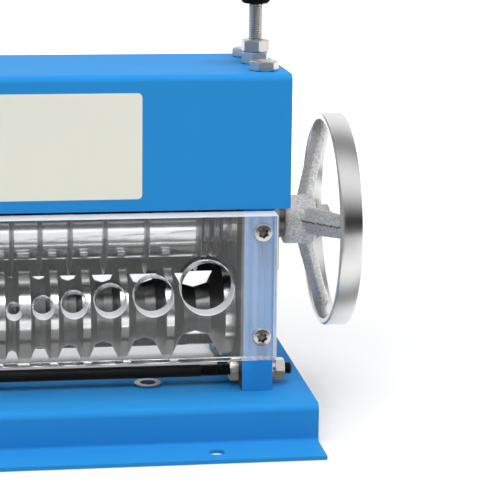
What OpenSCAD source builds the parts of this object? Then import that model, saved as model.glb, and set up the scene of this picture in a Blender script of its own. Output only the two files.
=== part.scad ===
/* [Base] */
// Length of the base along the rollers
base_l = 520; // [500:5:620]
// Depth of the raised deck
deck_w = 181; // [176:1:220]
// Height of the deck above the bench
base_h = 27; // [22:1:45]
// Thickness of the bent base sheet
base_t = 2.5; // [1.5:0.5:4]
// Inner radius of the base bends
base_bend = 2.5; // [1:0.5:5]
// Width of each bolting flange
flange_w = 30; // [24:1:45]
// Diameter of the bench bolt holes
bench_hole_d = 10; // [7:0.5:13]
// Distance from the bench holes to the ends of the base
bench_inset = 68; // [20:1:120]

/* [Side plates] */
// Centre of the cutting head, to the right of the middle of the base
head_x = 102; // [95:1:115]
// Thickness of a side plate
plate_t = 20; // [16:1:24]
// Depth of a side plate
plate_w = 115; // [110:1:130]
// Height of a side plate above the deck
plate_h = 192.5; // [185:0.5:220]
// Width of the slot that guides a bearing block
slot_w = 48; // [44:1:54]

/* [Cover] */
// Length of the top cover, which sets how far apart the side plates stand
cover_l = 286; // [250:1:320]
// Height of the front wall of the cover
cover_front_h = 87; // [70:1:100]
// Height of the rear wall of the cover
cover_rear_h = 155; // [120:1:160]
// Thickness of the cover sheet
cover_t = 2; // [1:0.5:3]
// Inner radius of the cover bends
cover_bend = 2.5; // [1:0.5:5]

/* [Feed guard] */
// Thickness of the clear guard
guard_t = 15; // [8:1:20]
// Height of the clear guard
guard_h = 95.5; // [90:0.5:97]
// Gap between the guard and the cover above it
guard_top_gap = 1.5; // [0.5:0.5:4]
// Height of the bottom of every feed hole above the roller axis
feed_floor = 13.5; // [8:0.5:18]
// Diameter of the guard screws
guard_screw_d = 6; // [5:1:8]

/* [Rollers and blades] */
// Height of the roller axis above the deck
roller_rise = 42; // [38:0.5:48]
// Distance between the roller axis and the blade shaft axis
shaft_rise = 60; // [60:0.5:64]
// Diameter of the feed roller over its ridges
roller_d = 62; // [58:1:66]
// Width of the plain end of the roller beside the largest groove
roller_end_w = 7; // [5:0.5:10]
// Diameter of the shaft journals
journal_d = 25; // [22:1:28]
// Outer diameter of the bearing bushes
bush_d = 32; // [30:1:36]
// Thickness of a blade
blade_t = 3; // [2:0.25:4]
// Height of the ground edge of a blade
blade_bevel = 6; // [4:0.5:8]
// Gap between the blades and the shallowest groove
blade_clear = 0.8; // [0.5:0.1:3]
// Diameter of the spacers between the blades
spacer_d = 45; // [40:1:48]
// Diameter of the shaft inside the spacers
stack_d = 30; // [28:1:34]

/* [Height adjustment] */
// Diameter of the adjusting screws
screw_d = 10; // [8:1:12]
// Length of thread that shows between the lock nut and the knob
screw_show = 24; // [18:1:40]
// Height of a bearing block
block_h = 56; // [50:1:60]
// Width across the flats of the nuts and bolt heads on the cover
wrench = 17; // [15:1:19]
// Diameter of a knob over its lobes
knob_d = 40; // [32:1:50]

/* [Handwheel] */
// Outer diameter of the handwheel
wheel_d = 144; // [120:1:180]
// Width of the handwheel rim
rim_w = 14.5; // [10:0.5:20]
// Thickness of the handwheel rim
rim_t = 4.5; // [3:0.5:8]
// Diameter of the handwheel hub
hub_d = 33; // [30:1:44]
// Length of the handwheel hub
hub_l = 22; // [18:1:30]
// Distance from the hub face to the inner edge of the rim
wheel_dish = 26; // [20:1:36]

/* [Drive] */
// Teeth on each gear, always an odd number so that the pair meshes
gear_teeth = 15; // [13:2:19]
// Face width of the gears
gear_w = 18; // [12:1:22]
// Side of the square gear head
gear_head_s = 104; // [90:1:106]
// Length of the gear head
gear_head_l = 65; // [50:1:90]
// Distance from the output shaft up to the motor axis
motor_offset = 18; // [14:1:24]
// Length of the finned motor body
motor_l = 120; // [100:1:140]
// Length of the motor end bell
bell_l = 30; // [20:1:40]
// Number of cooling fins round the motor
fin_count = 40; // [24:1:60]

/* [Control box] */
// Length of the control box
box_l = 84; // [76:1:100]
// Depth of the control box
box_w = 76; // [70:1:90]
// Height of the control box
box_h = 46; // [42:1:60]
// Thickness of the control box walls
box_t = 2.5; // [2:0.5:4]
// Diameter of the push buttons
button_d = 19; // [14:1:22]
// Travel of the push buttons
button_travel = 3; // [2:0.5:4]

/* [Hidden] */
$fn = 64;

// Overshoot of every cut past the faces it goes through
cut = 1;
// Radial clearance of a turning fit
run_gap = 0.05;
// Radial clearance of a screw in its hole
hole_gap = 0.2;
// Clearance of a sliding fit
slide_gap = 0.2;

// Feed hole diameter and the ridge to the left of its groove, largest first
channels = [[34, 5], [25, 5], [20, 5], [16, 5], [13, 7.5], [9, 5.5], [8, 5.5], [8, 5.5], [7, 5.5], [7, 5.5],
    [6, 5.5]];

// Bearing blocks have a flange outside the plates, and the cap bars reach over it
block_flange_t = 8;
block_lip = 6;
cap_w = plate_t + block_flange_t;
cover_end = 2;

// Faces of the side plates, measured from the centre of the head
inner = cover_l / 2 - cover_end - cap_w;
outer = inner + plate_t;
block_out = outer + block_flange_t;
plate_top = base_h + plate_h;
roller_z = base_h + roller_rise;
shaft_z = roller_z + shaft_rise;

// Cap bars close the slots and carry the adjusting screws
cap_t = 14;
cap_top = plate_top + cap_t;
cap_screw_d = 6;
cap_screw_head_d = 10;
cap_screw_head_h = 6;
cap_screw_sink = 0.5;
cap_screw_l = 16;
cap_screw_hole_l = 20;
cap_screw_edge = 8;
cap_screw_y = plate_w / 2 - cap_screw_edge;
cap_screw_x = inner + plate_t / 2;
cover_top = cap_top + cover_t;
screw_edge = 13;
screw_x = block_out - screw_edge;
cover_bolt_edge = 19.5;
cover_bolt_y = plate_w / 2 - cover_bolt_edge;
cover_bolt_head_h = 6.4;
cover_bolt_short = 0.5;
cover_bolt_l = cap_t + cover_t - cover_bolt_short;
nut_h = 8;
nut_turn = 12;
lock_nut_turn = 35;

// Cover walls
cover_gap = 0.5;
cover_w = plate_w + 2 * (cover_gap + cover_t);

// Bearing blocks
slot_floor_gap = 1;
slot_floor = shaft_z - block_h / 2 - slot_floor_gap;
block_top = shaft_z + block_h / 2;
collar_d = 13;
collar_h = 6;
pocket_gap = 0.5;
pocket_h = collar_h + 2 * pocket_gap;
neck_d = 8;
neck_h = 6;
retainer_t = 4;
retainer_l = 20;
retainer_w = 32;
retainer_screw_d = 5;
retainer_screw_y = 11;
retainer_screw_l = 8;
retainer_screw_hole_l = 10;
retainer_screw_head_d = 8.5;
retainer_screw_head_h = 3;

// Feed roller and blades
roller_r = roller_d / 2;
roller_end_gap = 1;
roller_right = inner - roller_end_gap;
function groove_depth(d) = 0.4 * d + 3.2;
function channel_x(i, edge = roller_right - roller_end_w) =
    i == 0 ? edge - channels[0][0] / 2
           : channel_x(i - 1, edge) - channels[i - 1][0] / 2 - channels[i - 1][1] - channels[i][0] / 2;
roller_end_min = 3;
last_channel = len([for (i = [0 : len(channels) - 1])
    if (channel_x(i) - channels[i][0] / 2 - roller_end_min > -roller_right) i]) - 1;
shallowest = min([for (c = channels) groove_depth(c[0])]);
blade_r = shaft_rise - roller_r + shallowest - blade_clear;
shoulder_gap = 1;
shoulder_w = 4;
shoulder_x = -inner + shoulder_gap + shoulder_w;
clamp_nut_d = 46;
clamp_nut_t = 6.8;
clamp_nut_gap = 0.2;
edge_break = 1.5;
nut_slot = 5;
nut_slot_depth = 2.5;
nut_slots = 4;
nut_slot_turn = 20;
stack_over = 2;
bush_flange_d = bush_d + 8;
bush_flange_t = 3;

// Feed guard
guard_top = cover_top - cover_front_h - guard_top_gap;
guard_z = guard_top - guard_h;
guard_front = -plate_w / 2 - guard_t;
guard_screw_x = inner + plate_t / 2;
guard_screw_low = 16;
guard_screw_high = 11;
guard_screw_zs = [guard_z + guard_screw_low, guard_top - guard_screw_high];
guard_screw_head_d = 2 * guard_screw_d;
guard_screw_head_h = 3.5;
guard_socket_w = 4;
guard_socket_h = 2;
guard_screw_depth = 14;
guard_screw_short = 2;

// Tie rods
rod_d = 8;
rod_rise = 10;
rod_z = base_h + rod_rise;
rod_edge = 16;
rod_y = plate_w / 2 - rod_edge;
rod_nut_turn = 30;
spring_turn = 40;
rod_nut_w = 13;
rod_nut_h = 6.5;
rod_washer_d = 16;
rod_washer_t = 1.6;
spring_washer_d = 13;
spring_washer_t = 2;
spring_split = 1.2;
rod_stub = 15;

// Deck fixings
deck_bolt_d = 8;
deck_bolt_l = 18;
deck_bolt_head_h = 5.3;
deck_bolt_w = 13;
deck_bolt_y = 26;
base_washer_d = 18.5;
base_washer_t = 1.6;
base_washer_hole_d = 10;
base_washer_in = 59.6;
base_washer_x = inner - base_washer_in;
base_washer_edge = 21;
base_washer_y = plate_w / 2 - base_washer_edge;

// Discharge plate on the deck
tray_t = 1.2;
tray_lip = 5;
tray_front = 8;
tray_side_gap = 9;
tray_rear_gap = 6;
tray_rear = deck_w / 2 - tray_rear_gap;

// Drive, measured to the left from the centre of the head
gear_gap = 9;
gear_x = block_out + gear_gap;
gear_end_gap = 8;
motor_plate_t = 10;
motor_plate_x = gear_x + gear_w + gear_end_gap;
gear_case_t = 2;
gear_case_bend = 2.5;
gear_case_in = 1;
gear_case_w = plate_w - gear_case_in;
gear_case_end = motor_plate_x + motor_plate_t;
lift = 6;
gear_module = shaft_rise / gear_teeth;
pitch_r = shaft_rise / 2;
tip_r = pitch_r + gear_module;
root_r = pitch_r - 1.25 * gear_module;
pressure_angle = 20;
gear_backlash = 0.5;
gear_top_gap = 5;
gear_case_top = shaft_z + tip_r + lift + gear_top_gap;
gear_seat_d = 22;
key_w = 6;
key_h = 6;
key_l = gear_w;
motor_z = roller_z + motor_offset;
gear_head_r = 10;
gear_head_x = gear_case_end;
motor_x = gear_head_x + gear_head_l;
bell_x = motor_x + motor_l;
head_bolt_d = 8;
head_bolt_head_d = 13;
head_bolt_head_h = 8;
head_bolt_edge = 10;
head_bolt_p = gear_head_s / 2 - head_bolt_edge;
head_bolt_short = 1;
head_joint_x = 14;
head_joint_w = 1.2;
head_joint_depth = 0.8;
pilot_d = 34;
pilot_l = 5;
output_d = 15;
output_in = 18;
output_depth = 26;
output_gap = 1;
journal_gap = 4;
journal_left = motor_plate_x - journal_gap;
motor_in = 1;
motor_r = gear_head_s / 2 - motor_in;
fin_h = 5;
fin_w = 2.4;
fin_root = 2;
shield_l = 9;
bell_round = 9;
pad_h = 3;
case_screw_d = 5;
case_screw_head_d = 9;
case_screw_head_h = 3;
case_screw_l = 12;
case_screw_hole_l = 13;
case_screw_low = 34;
case_screw_high = 29;
case_screw_zs = [base_h + case_screw_low, gear_case_top - case_screw_high];

// Control box on the motor
box_shift = 4;
box_r = 5;
box_x = motor_x + (motor_l - box_l) / 2 + box_shift;
pad_in = 8;
box_z = motor_z + motor_r + pad_h;
lid_t = 3;
lid_screw_d = 3;
lid_screw_l = 10;
lid_screw_hole_l = 12;
lid_screw_head_h = 1.8;
lid_screw_inset = 6;
post_d = 9;
button_z = box_z + box_h / 2;
button_pitch = 36;
button_proud = 5;
button_l = 16;
button_gap = 0.3;
bezel_rim = 4.5;
bezel_d = button_d + 2 * bezel_rim;
bezel_t = 4;
contact_t = 10;
contact_margin = 1;
gland_d = 16;
gland_fit = 0.1;
gland_in = 4;
gland_hex_w = 22;
gland_hex_h = 6;
gland_cap_d = 19;
gland_cap_h = 10;
gland_bore = 8;
capacitor_d = 30;
capacitor_l = 58;

// Handwheel on the right end of the blade shaft
hub_gap = 7;
hub_x = block_out + hub_gap;
hub_edge = 2;
rim_edge = 1;
wheel_seat_d = 22;
rim_x = hub_x + wheel_dish;
wheel_nut_w = 17;
wheel_nut_h = 8;
wheel_washer_t = 2;
wheel_washer_d = 28;
wheel_thread_d = 10;
wheel_thread_over = 3;
spoke_lift = 6;
spoke_w = 20;
spoke_tip_w = 16;
spoke_t = 11;
spoke_sink = 3;
spoke_in = 5;
slice_t = 0.2;
spoke_count = 3;

// Turns a shape drawn along +Z so that it runs along +X from a point
module along_x(x, y, z) { translate([x, y, z]) rotate([0, 90, 0]) children(); }

// Turns a shape drawn along +Z so that it runs along +Y from a point
module along_y(x, y, z) { translate([x, y, z]) rotate([-90, 0, 0]) children(); }

// Places a shape drawn for the right side of the head, or its mirror image on the left
module right_side() { translate([head_x, 0, 0]) children(); }
module left_side() { translate([head_x, 0, 0]) mirror([1, 0, 0]) children(); }
module both_sides() {
    right_side() children();
    left_side() children();
}

// Ring between two diameters
module ring(d_out, d_in, h) {
    difference() {
        cylinder(d = d_out, h = h);
        translate([0, 0, -cut]) cylinder(d = d_in, h = h + 2 * cut);
    }
}

// Hexagon measured across its flats
module hex(w, h) { cylinder(d = w / cos(30), h = h, $fn = 6); }

// Hexagon whose corners are turned away at both ends
module chamfered_hex(w, h) {
    corner = w / cos(30) / 2;
    flat = w / 2 * 0.96;
    drop = (corner - flat) * tan(30);
    intersection() {
        hex(w, h);
        rotate_extrude() polygon([[0, 0], [flat, 0], [corner, drop], [corner, h - drop], [flat, h], [0, h]]);
    }
}

// Hex nut with a plain bore
module nut(w, h, bore) {
    difference() {
        chamfered_hex(w, h);
        translate([0, 0, -cut]) cylinder(d = bore, h = h + 2 * cut);
    }
}

// Quarter of a sheet bend, centred on its bend axis
module bend_quarter(r_in, t) {
    intersection() {
        difference() {
            circle(r_in + t);
            circle(r_in);
        }
        square(r_in + t + cut);
    }
}

// One half of the hat section of the base
module base_half() {
    out = base_bend + base_t;
    translate([0, base_h - base_t]) square([deck_w / 2 - out, base_t]);
    translate([deck_w / 2 - out, base_h - out]) bend_quarter(base_bend, base_t);
    translate([deck_w / 2 - base_t, out]) square([base_t, base_h - 2 * out]);
    translate([deck_w / 2 + base_bend, out]) rotate(180) bend_quarter(base_bend, base_t);
    translate([deck_w / 2 + base_bend, 0]) square([flange_w - base_bend, base_t]);
}

module base_plate() {
    color("dodgerblue") difference() {
        rotate([90, 0, 90]) linear_extrude(base_l, center = true) {
            base_half();
            mirror([1, 0]) base_half();
        }
        for (sx = [-1, 1], sy = [-1, 1])
            translate([sx * (base_l / 2 - bench_inset), sy * (deck_w + flange_w) / 2, -cut])
                cylinder(d = bench_hole_d, h = base_t + 2 * cut);
        for (sx = [-1, 1])
            translate([head_x + sx * base_washer_x, -base_washer_y, base_h - base_t - cut])
                cylinder(d = base_washer_hole_d, h = base_t + 2 * cut);
        at_deck_bolts() translate([0, 0, -cut])
            cylinder(d = deck_bolt_d + 2 * hole_gap, h = base_t + 2 * cut);
    }
}

// Under-deck bolt places for the side plates and the motor plate, at the lower face of the deck
module at_deck_bolts() {
    for (sy = [-1, 1]) {
        both_sides() translate([inner + plate_t / 2, sy * deck_bolt_y, base_h - base_t]) children();
        left_side() translate([motor_plate_x + motor_plate_t / 2, sy * deck_bolt_y, base_h - base_t])
            children();
    }
}

module base_washers() {
    color("silver") for (sx = [-1, 1])
        translate([head_x + sx * base_washer_x, -base_washer_y, base_h])
            ring(base_washer_d, base_washer_hole_d, base_washer_t);
}

module deck_bolts() {
    color("dimgray") at_deck_bolts() {
        translate([0, 0, -deck_bolt_head_h]) hex(deck_bolt_w, deck_bolt_head_h);
        cylinder(d = deck_bolt_d, h = deck_bolt_l);
    }
}

module side_plate() {
    difference() {
        translate([inner, -plate_w / 2, base_h]) cube([plate_t, plate_w, plate_h]);
        translate([inner - cut, -slot_w / 2, slot_floor]) cube([plate_t + 2 * cut, slot_w, plate_h]);
        along_x(inner - cut, 0, roller_z) cylinder(d = bush_d, h = plate_t + 2 * cut);
        for (sy = [-1, 1]) {
            along_x(inner - cut, sy * rod_y, rod_z) cylinder(d = rod_d + 2 * hole_gap, h = plate_t + 2 * cut);
            translate([inner + plate_t / 2, sy * deck_bolt_y, base_h - cut])
                cylinder(d = deck_bolt_d + 2 * hole_gap, h = deck_bolt_l + cut);
            translate([cap_screw_x, sy * cap_screw_y, plate_top - cap_screw_hole_l])
                cylinder(d = cap_screw_d + 2 * hole_gap, h = cap_screw_hole_l + cut);
        }
        for (z = guard_screw_zs)
            along_y(guard_screw_x, -plate_w / 2 - cut, z)
                cylinder(d = guard_screw_d + 2 * hole_gap, h = guard_screw_depth + cut);
    }
}

module left_side_plate() { color("dodgerblue") left_side() side_plate(); }
module right_side_plate() { color("dodgerblue") right_side() side_plate(); }

// Bar with its upper edges chamfered to clear the bends of the cover
module cap_bar() {
    half = plate_w / 2;
    difference() {
        translate([inner, 0, 0]) rotate([90, 0, 90]) linear_extrude(cap_w) polygon([
            [-half, plate_top], [half, plate_top], [half, cap_top - cover_bend], [half - cover_bend, cap_top],
            [-half + cover_bend, cap_top], [-half, cap_top - cover_bend]]);
        translate([screw_x, 0, plate_top - cut]) cylinder(d = screw_d + 2 * hole_gap, h = cap_t + 2 * cut);
        for (sy = [-1, 1]) {
            translate([screw_x, sy * cover_bolt_y, plate_top - cut])
                cylinder(d = screw_d + 2 * hole_gap, h = cap_t + 2 * cut);
            translate([cap_screw_x, sy * cap_screw_y, plate_top - cut])
                cylinder(d = cap_screw_d + 2 * hole_gap, h = cap_t + 2 * cut);
            translate([cap_screw_x, sy * cap_screw_y, cap_top - cap_screw_head_h])
                cylinder(d = cap_screw_head_d + 2 * hole_gap, h = cap_screw_head_h + cut);
        }
    }
}

module left_cap_bar() { color("gray") left_side() cap_bar(); }
module right_cap_bar() { color("gray") right_side() cap_bar(); }

module cap_screws() {
    color("dimgray") both_sides() for (sy = [-1, 1])
        translate([cap_screw_x, sy * cap_screw_y, 0]) {
            translate([0, 0, cap_top - cap_screw_head_h])
                cylinder(d = cap_screw_head_d, h = cap_screw_head_h - cap_screw_sink);
            translate([0, 0, plate_top - cap_screw_l])
                cylinder(d = cap_screw_d, h = cap_t + cap_screw_l - cap_screw_head_h);
        }
}

// Section of a folded cover: front wall at -Y, top, rear wall at +Y
module folded_section(w, top, t, bend, front_h, rear_h) {
    half = w / 2;
    out = bend + t;
    translate([-half + out, top - t]) square([w - 2 * out, t]);
    translate([half - out, top - out]) bend_quarter(bend, t);
    translate([-half + out, top - out]) rotate(90) bend_quarter(bend, t);
    translate([-half, top - front_h]) square([t, front_h - out]);
    translate([half - t, top - rear_h]) square([t, rear_h - out]);
}

module top_cover() {
    color("dodgerblue") difference() {
        translate([head_x, 0, 0]) rotate([90, 0, 90]) linear_extrude(cover_l, center = true)
            folded_section(cover_w, cover_top, cover_t, cover_bend, cover_front_h, cover_rear_h);
        both_sides() for (y = [-cover_bolt_y, 0, cover_bolt_y])
            translate([screw_x, y, cover_top - cover_t - cut])
                cylinder(d = screw_d + 2 * hole_gap, h = cover_t + 2 * cut);
    }
}

module cover_bolts() {
    color("silver") both_sides() for (sy = [-1, 1])
        translate([screw_x, sy * cover_bolt_y, cover_top]) {
            chamfered_hex(wrench, cover_bolt_head_h);
            translate([0, 0, -cover_bolt_l]) cylinder(d = screw_d, h = cover_bolt_l);
        }
}

module thread_nuts() {
    color("silver") both_sides() translate([screw_x, 0, cover_top])
        rotate(nut_turn) nut(wrench, nut_h, screw_d + 2 * hole_gap);
}

module lock_nuts() {
    color("silver") both_sides() translate([screw_x, 0, cover_top + nut_h])
        rotate(lock_nut_turn) nut(wrench, nut_h, screw_d + 2 * hole_gap);
}

module feed_guard() {
    color("lightcyan", 0.4) difference() {
        translate([head_x - outer, guard_front, guard_z]) cube([2 * outer, guard_t, guard_h]);
        for (i = [0 : last_channel])
            along_y(head_x + channel_x(i), guard_front - cut, roller_z + feed_floor + channels[i][0] / 2)
                cylinder(d = channels[i][0], h = guard_t + 2 * cut);
        both_sides() for (z = guard_screw_zs)
            along_y(guard_screw_x, guard_front - cut, z)
                cylinder(d = guard_screw_d + 2 * hole_gap, h = guard_t + 2 * cut);
    }
}

// Pan head with a six-sided socket, and its shank
module guard_screws() {
    dome = guard_screw_head_d;
    color("silver") both_sides() for (z = guard_screw_zs)
        along_y(guard_screw_x, guard_front - guard_screw_head_h, z) {
            difference() {
                intersection() {
                    cylinder(d = guard_screw_head_d, h = guard_screw_head_h);
                    translate([0, 0, dome]) sphere(dome);
                }
                translate([0, 0, -cut]) hex(guard_socket_w, guard_socket_h + cut);
            }
            translate([0, 0, guard_screw_head_h])
                cylinder(d = guard_screw_d, h = guard_t + guard_screw_depth - guard_screw_short);
        }
}

module tie_rod(y) {
    along_x(head_x - outer - rod_stub, y, rod_z) cylinder(d = rod_d, h = 2 * (outer + rod_stub));
}
module front_tie_rod() { color("dimgray") tie_rod(-rod_y); }
module rear_tie_rod() { color("dimgray") tie_rod(rod_y); }

module tie_rod_nuts() {
    color("silver") both_sides() for (sy = [-1, 1]) {
        along_x(inner - rod_nut_h, sy * rod_y, rod_z)
            rotate(rod_nut_turn) nut(rod_nut_w, rod_nut_h, rod_d + 2 * run_gap);
        along_x(outer + rod_washer_t + spring_washer_t, sy * rod_y, rod_z)
            rotate(rod_nut_turn) nut(rod_nut_w, rod_nut_h, rod_d + 2 * run_gap);
    }
}

module tie_rod_washers() {
    color("silver") both_sides() for (sy = [-1, 1])
        along_x(outer, sy * rod_y, rod_z) ring(rod_washer_d, rod_d + 2 * run_gap, rod_washer_t);
}

// Split spring washers between the flat washers and the outer nuts
module spring_washers() {
    color("silver") both_sides() for (sy = [-1, 1])
        along_x(outer + rod_washer_t, sy * rod_y, rod_z) difference() {
            ring(spring_washer_d, rod_d + 2 * run_gap, spring_washer_t);
            rotate(sy * spring_turn) translate([0, -spring_split / 2, -cut])
                cube([spring_washer_d, spring_split, spring_washer_t + 2 * cut]);
        }
}

// Flanged bushes, pressed into the side plates from outside
module roller_bushes() {
    color("darkgoldenrod") both_sides() {
        along_x(inner, 0, roller_z) ring(bush_d, journal_d + 2 * run_gap, plate_t);
        along_x(outer, 0, roller_z) ring(bush_flange_d, journal_d + 2 * run_gap, bush_flange_t);
    }
}

// Shallow tray that slides scrap out at the back
module discharge_plate() {
    half = inner - tray_side_gap;
    color("gainsboro") translate([head_x, 0, base_h]) {
        translate([-half, -tray_front, 0]) cube([2 * half, tray_front + tray_rear, tray_t]);
        for (x = [-half, half - tray_t])
            translate([x, -tray_front, 0]) cube([tray_t, tray_front + tray_rear, tray_lip]);
    }
}

// Folded cover over the gears, between the left side plate and the motor plate
module gear_case() {
    wall = gear_case_top - base_h;
    color("dodgerblue") left_side() difference() {
        translate([outer, 0, 0]) rotate([90, 0, 90]) linear_extrude(gear_case_end - outer)
            folded_section(gear_case_w, gear_case_top, gear_case_t, gear_case_bend, wall, wall);
        at_case_screws() translate([0, 0, -cut])
            cylinder(d = case_screw_d + 2 * hole_gap, h = gear_case_t + 2 * cut);
    }
}

// Screw places on the front and rear walls of the gear case, with +Z into the motor plate
module at_case_screws() {
    for (sy = [-1, 1], z = case_screw_zs)
        translate([motor_plate_x + motor_plate_t / 2, sy * gear_case_w / 2, z])
            rotate([sy * 90, 0, 0]) children();
}

module gear_case_screws() {
    color("silver") left_side() at_case_screws() {
        translate([0, 0, -case_screw_head_h]) cylinder(d = case_screw_head_d, h = case_screw_head_h);
        cylinder(d = case_screw_d, h = case_screw_l);
    }
}

module motor_plate() {
    half = gear_case_w / 2 - gear_case_t;
    top = gear_case_top - gear_case_t;
    color("dodgerblue") left_side() difference() {
        translate([motor_plate_x, 0, 0]) rotate([90, 0, 90]) linear_extrude(motor_plate_t) polygon([
            [-half, base_h], [half, base_h], [half, top - gear_case_bend], [half - gear_case_bend, top],
            [-half + gear_case_bend, top], [-half, top - gear_case_bend]]);
        along_x(motor_plate_x - cut, 0, roller_z)
            cylinder(d = pilot_d + 2 * hole_gap, h = motor_plate_t + 2 * cut);
        at_head_bolts(motor_plate_x - cut)
            cylinder(d = head_bolt_d + 2 * hole_gap, h = motor_plate_t + 2 * cut);
        at_case_screws() translate([0, 0, -cut])
            cylinder(d = case_screw_d + 2 * hole_gap, h = case_screw_hole_l + cut);
        for (sy = [-1, 1])
            translate([motor_plate_x + motor_plate_t / 2, sy * deck_bolt_y, base_h - cut])
                cylinder(d = deck_bolt_d + 2 * hole_gap, h = deck_bolt_l + cut);
    }
}

module at_head_bolts(x) {
    for (sy = [-1, 1], sz = [-1, 1]) along_x(x, sy * head_bolt_p, motor_z + sz * head_bolt_p) children();
}

// Square with round corners
module rounded_square(s, r) {
    square([s, s - 2 * r], center = true);
    square([s - 2 * r, s], center = true);
    for (sx = [-1, 1], sy = [-1, 1]) translate([sx, sy] * (s / 2 - r)) circle(r);
}

module gear_head() {
    color("darkgray") left_side() difference() {
        union() {
            translate([gear_head_x, 0, motor_z]) rotate([90, 0, 90])
                linear_extrude(gear_head_l) rounded_square(gear_head_s, gear_head_r);
            along_x(gear_head_x - pilot_l, 0, roller_z) cylinder(d = pilot_d, h = pilot_l + cut);
        }
        along_x(gear_head_x - pilot_l - cut, 0, roller_z)
            cylinder(d = output_d + 2 * run_gap, h = pilot_l + output_in + output_gap + cut);
        translate([gear_head_x + head_joint_x, 0, motor_z]) rotate([90, 0, 90])
            linear_extrude(head_joint_w) difference() {
                square(gear_head_s + 2 * cut, center = true);
                rounded_square(gear_head_s - 2 * head_joint_depth, gear_head_r);
            }
        at_head_bolts(gear_head_x - cut) cylinder(d = head_bolt_d + 2 * hole_gap, h = gear_head_l + 2 * cut);
    }
}

module gear_head_bolts() {
    color("dimgray") left_side() {
        at_head_bolts(motor_plate_x + head_bolt_short)
            cylinder(d = head_bolt_d, h = motor_plate_t + gear_head_l - head_bolt_short);
        at_head_bolts(motor_x) cylinder(d = head_bolt_head_d, h = head_bolt_head_h);
    }
}

// Finned body with a plain end shield on the gear head and a flat pad on top
module motor_body() {
    core = motor_r - fin_h;
    color("#303236") left_side() {
        difference() {
            translate([motor_x, 0, motor_z]) rotate([90, 0, 90]) {
                cylinder(r = motor_r, h = shield_l);
                linear_extrude(motor_l) {
                    circle(core);
                    for (i = [0 : fin_count - 1])
                        rotate(i * 360 / fin_count) translate([core - fin_root, -fin_w / 2])
                            square([fin_h + fin_root, fin_w]);
                }
            }
            at_head_bolts(motor_x - cut)
                cylinder(d = head_bolt_head_d + 2 * pocket_gap, h = shield_l + 2 * cut);
        }
        translate([box_x + pad_in, -box_w / 4, motor_z + core - fin_h])
            cube([box_l - 2 * pad_in, box_w / 2, fin_h + box_z - motor_z - core]);
    }
}

module motor_end_bell() {
    color("#303236") left_side() along_x(bell_x, 0, motor_z) rotate_extrude() {
        square([motor_r, bell_l - bell_round]);
        square([motor_r - bell_round, bell_l]);
        translate([motor_r - bell_round, bell_l - bell_round]) circle(bell_round);
    }
}

// Plan of the control box, drawn in from its outside by a margin
module box_plan(margin) {
    r = box_r - margin;
    translate([box_x + box_l / 2, 0]) {
        square([box_l - 2 * margin, box_w - 2 * box_r], center = true);
        square([box_l - 2 * box_r, box_w - 2 * margin], center = true);
        for (sx = [-1, 1], sy = [-1, 1])
            translate([sx * (box_l / 2 - box_r), sy * (box_w / 2 - box_r)]) circle(r);
    }
}

module box_shell() {
    difference() {
        translate([0, 0, box_z]) linear_extrude(box_h) box_plan(0);
        translate([0, 0, box_z + box_t]) linear_extrude(box_h) box_plan(box_t);
    }
}

module at_lid_screws() {
    for (x = [box_x + lid_screw_inset, box_x + box_l - lid_screw_inset], sy = [-1, 1])
        translate([x, sy * (box_w / 2 - lid_screw_inset), box_z]) children();
}

module at_buttons() {
    for (s = [-1, 1]) translate([box_x + box_l / 2 + s * button_pitch / 2, -box_w / 2, button_z]) children();
}

module control_box() {
    color("#303236") left_side() difference() {
        union() {
            box_shell();
            at_lid_screws() cylinder(d = post_d, h = box_h);
        }
        at_lid_screws() translate([0, 0, box_h - lid_screw_hole_l])
            cylinder(d = lid_screw_d + 2 * hole_gap, h = lid_screw_hole_l + cut);
        at_buttons() along_y(0, -cut, 0) cylinder(d = button_d + 2 * button_gap, h = box_t + 2 * cut);
        along_x(box_x + box_l - box_t - cut, 0, button_z) cylinder(d = gland_d, h = box_t + 2 * cut);
    }
}

module control_box_lid() {
    color("#303236") left_side() difference() {
        translate([0, 0, box_z + box_h]) linear_extrude(lid_t) box_plan(0);
        at_lid_screws() translate([0, 0, box_h - cut])
            cylinder(d = lid_screw_d + 2 * hole_gap, h = lid_t + 2 * cut);
    }
}

module lid_screws() {
    color("silver") left_side() at_lid_screws() {
        translate([0, 0, box_h + lid_t]) cylinder(d = 2 * lid_screw_d, h = lid_screw_head_h);
        translate([0, 0, box_h - lid_screw_l]) cylinder(d = lid_screw_d, h = lid_screw_l + lid_t);
    }
}

module run_capacitor() {
    color("whitesmoke") left_side()
        along_x(box_x + (box_l - capacitor_l) / 2, box_w / 4, box_z + box_t + capacitor_d / 2)
            cylinder(d = capacitor_d, h = capacitor_l);
}

// Switch contacts that stand on the floor of the box behind the buttons
module contact_blocks() {
    w = button_d + 2 * contact_margin;
    back = button_l - button_proud + button_travel + button_gap;
    color("black") left_side() at_buttons() {
        translate([-w / 2, back, box_z + box_t - button_z])
            cube([w, contact_t, button_z - box_z - box_t + button_d / 2]);
    }
}

module button_bezels() {
    color("silver") left_side() at_buttons()
        along_y(0, -bezel_t, 0) ring(bezel_d, button_d + 2 * button_gap, bezel_t);
}

// Push button with a rounded rim, drawn from its face inwards
module button(s) {
    r = button_d / 2;
    face = -box_w / 2 - bezel_t - button_proud;
    left_side() along_y(box_x + box_l / 2 + s * button_pitch / 2, face, button_z)
        rotate_extrude() polygon([[0, 0], [r - edge_break, 0], [r, edge_break], [r, button_l + bezel_t],
                                  [0, button_l + bezel_t]]);
}

module start_button() { color("green") button(1); }
module stop_button() { color("red") button(-1); }

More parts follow.
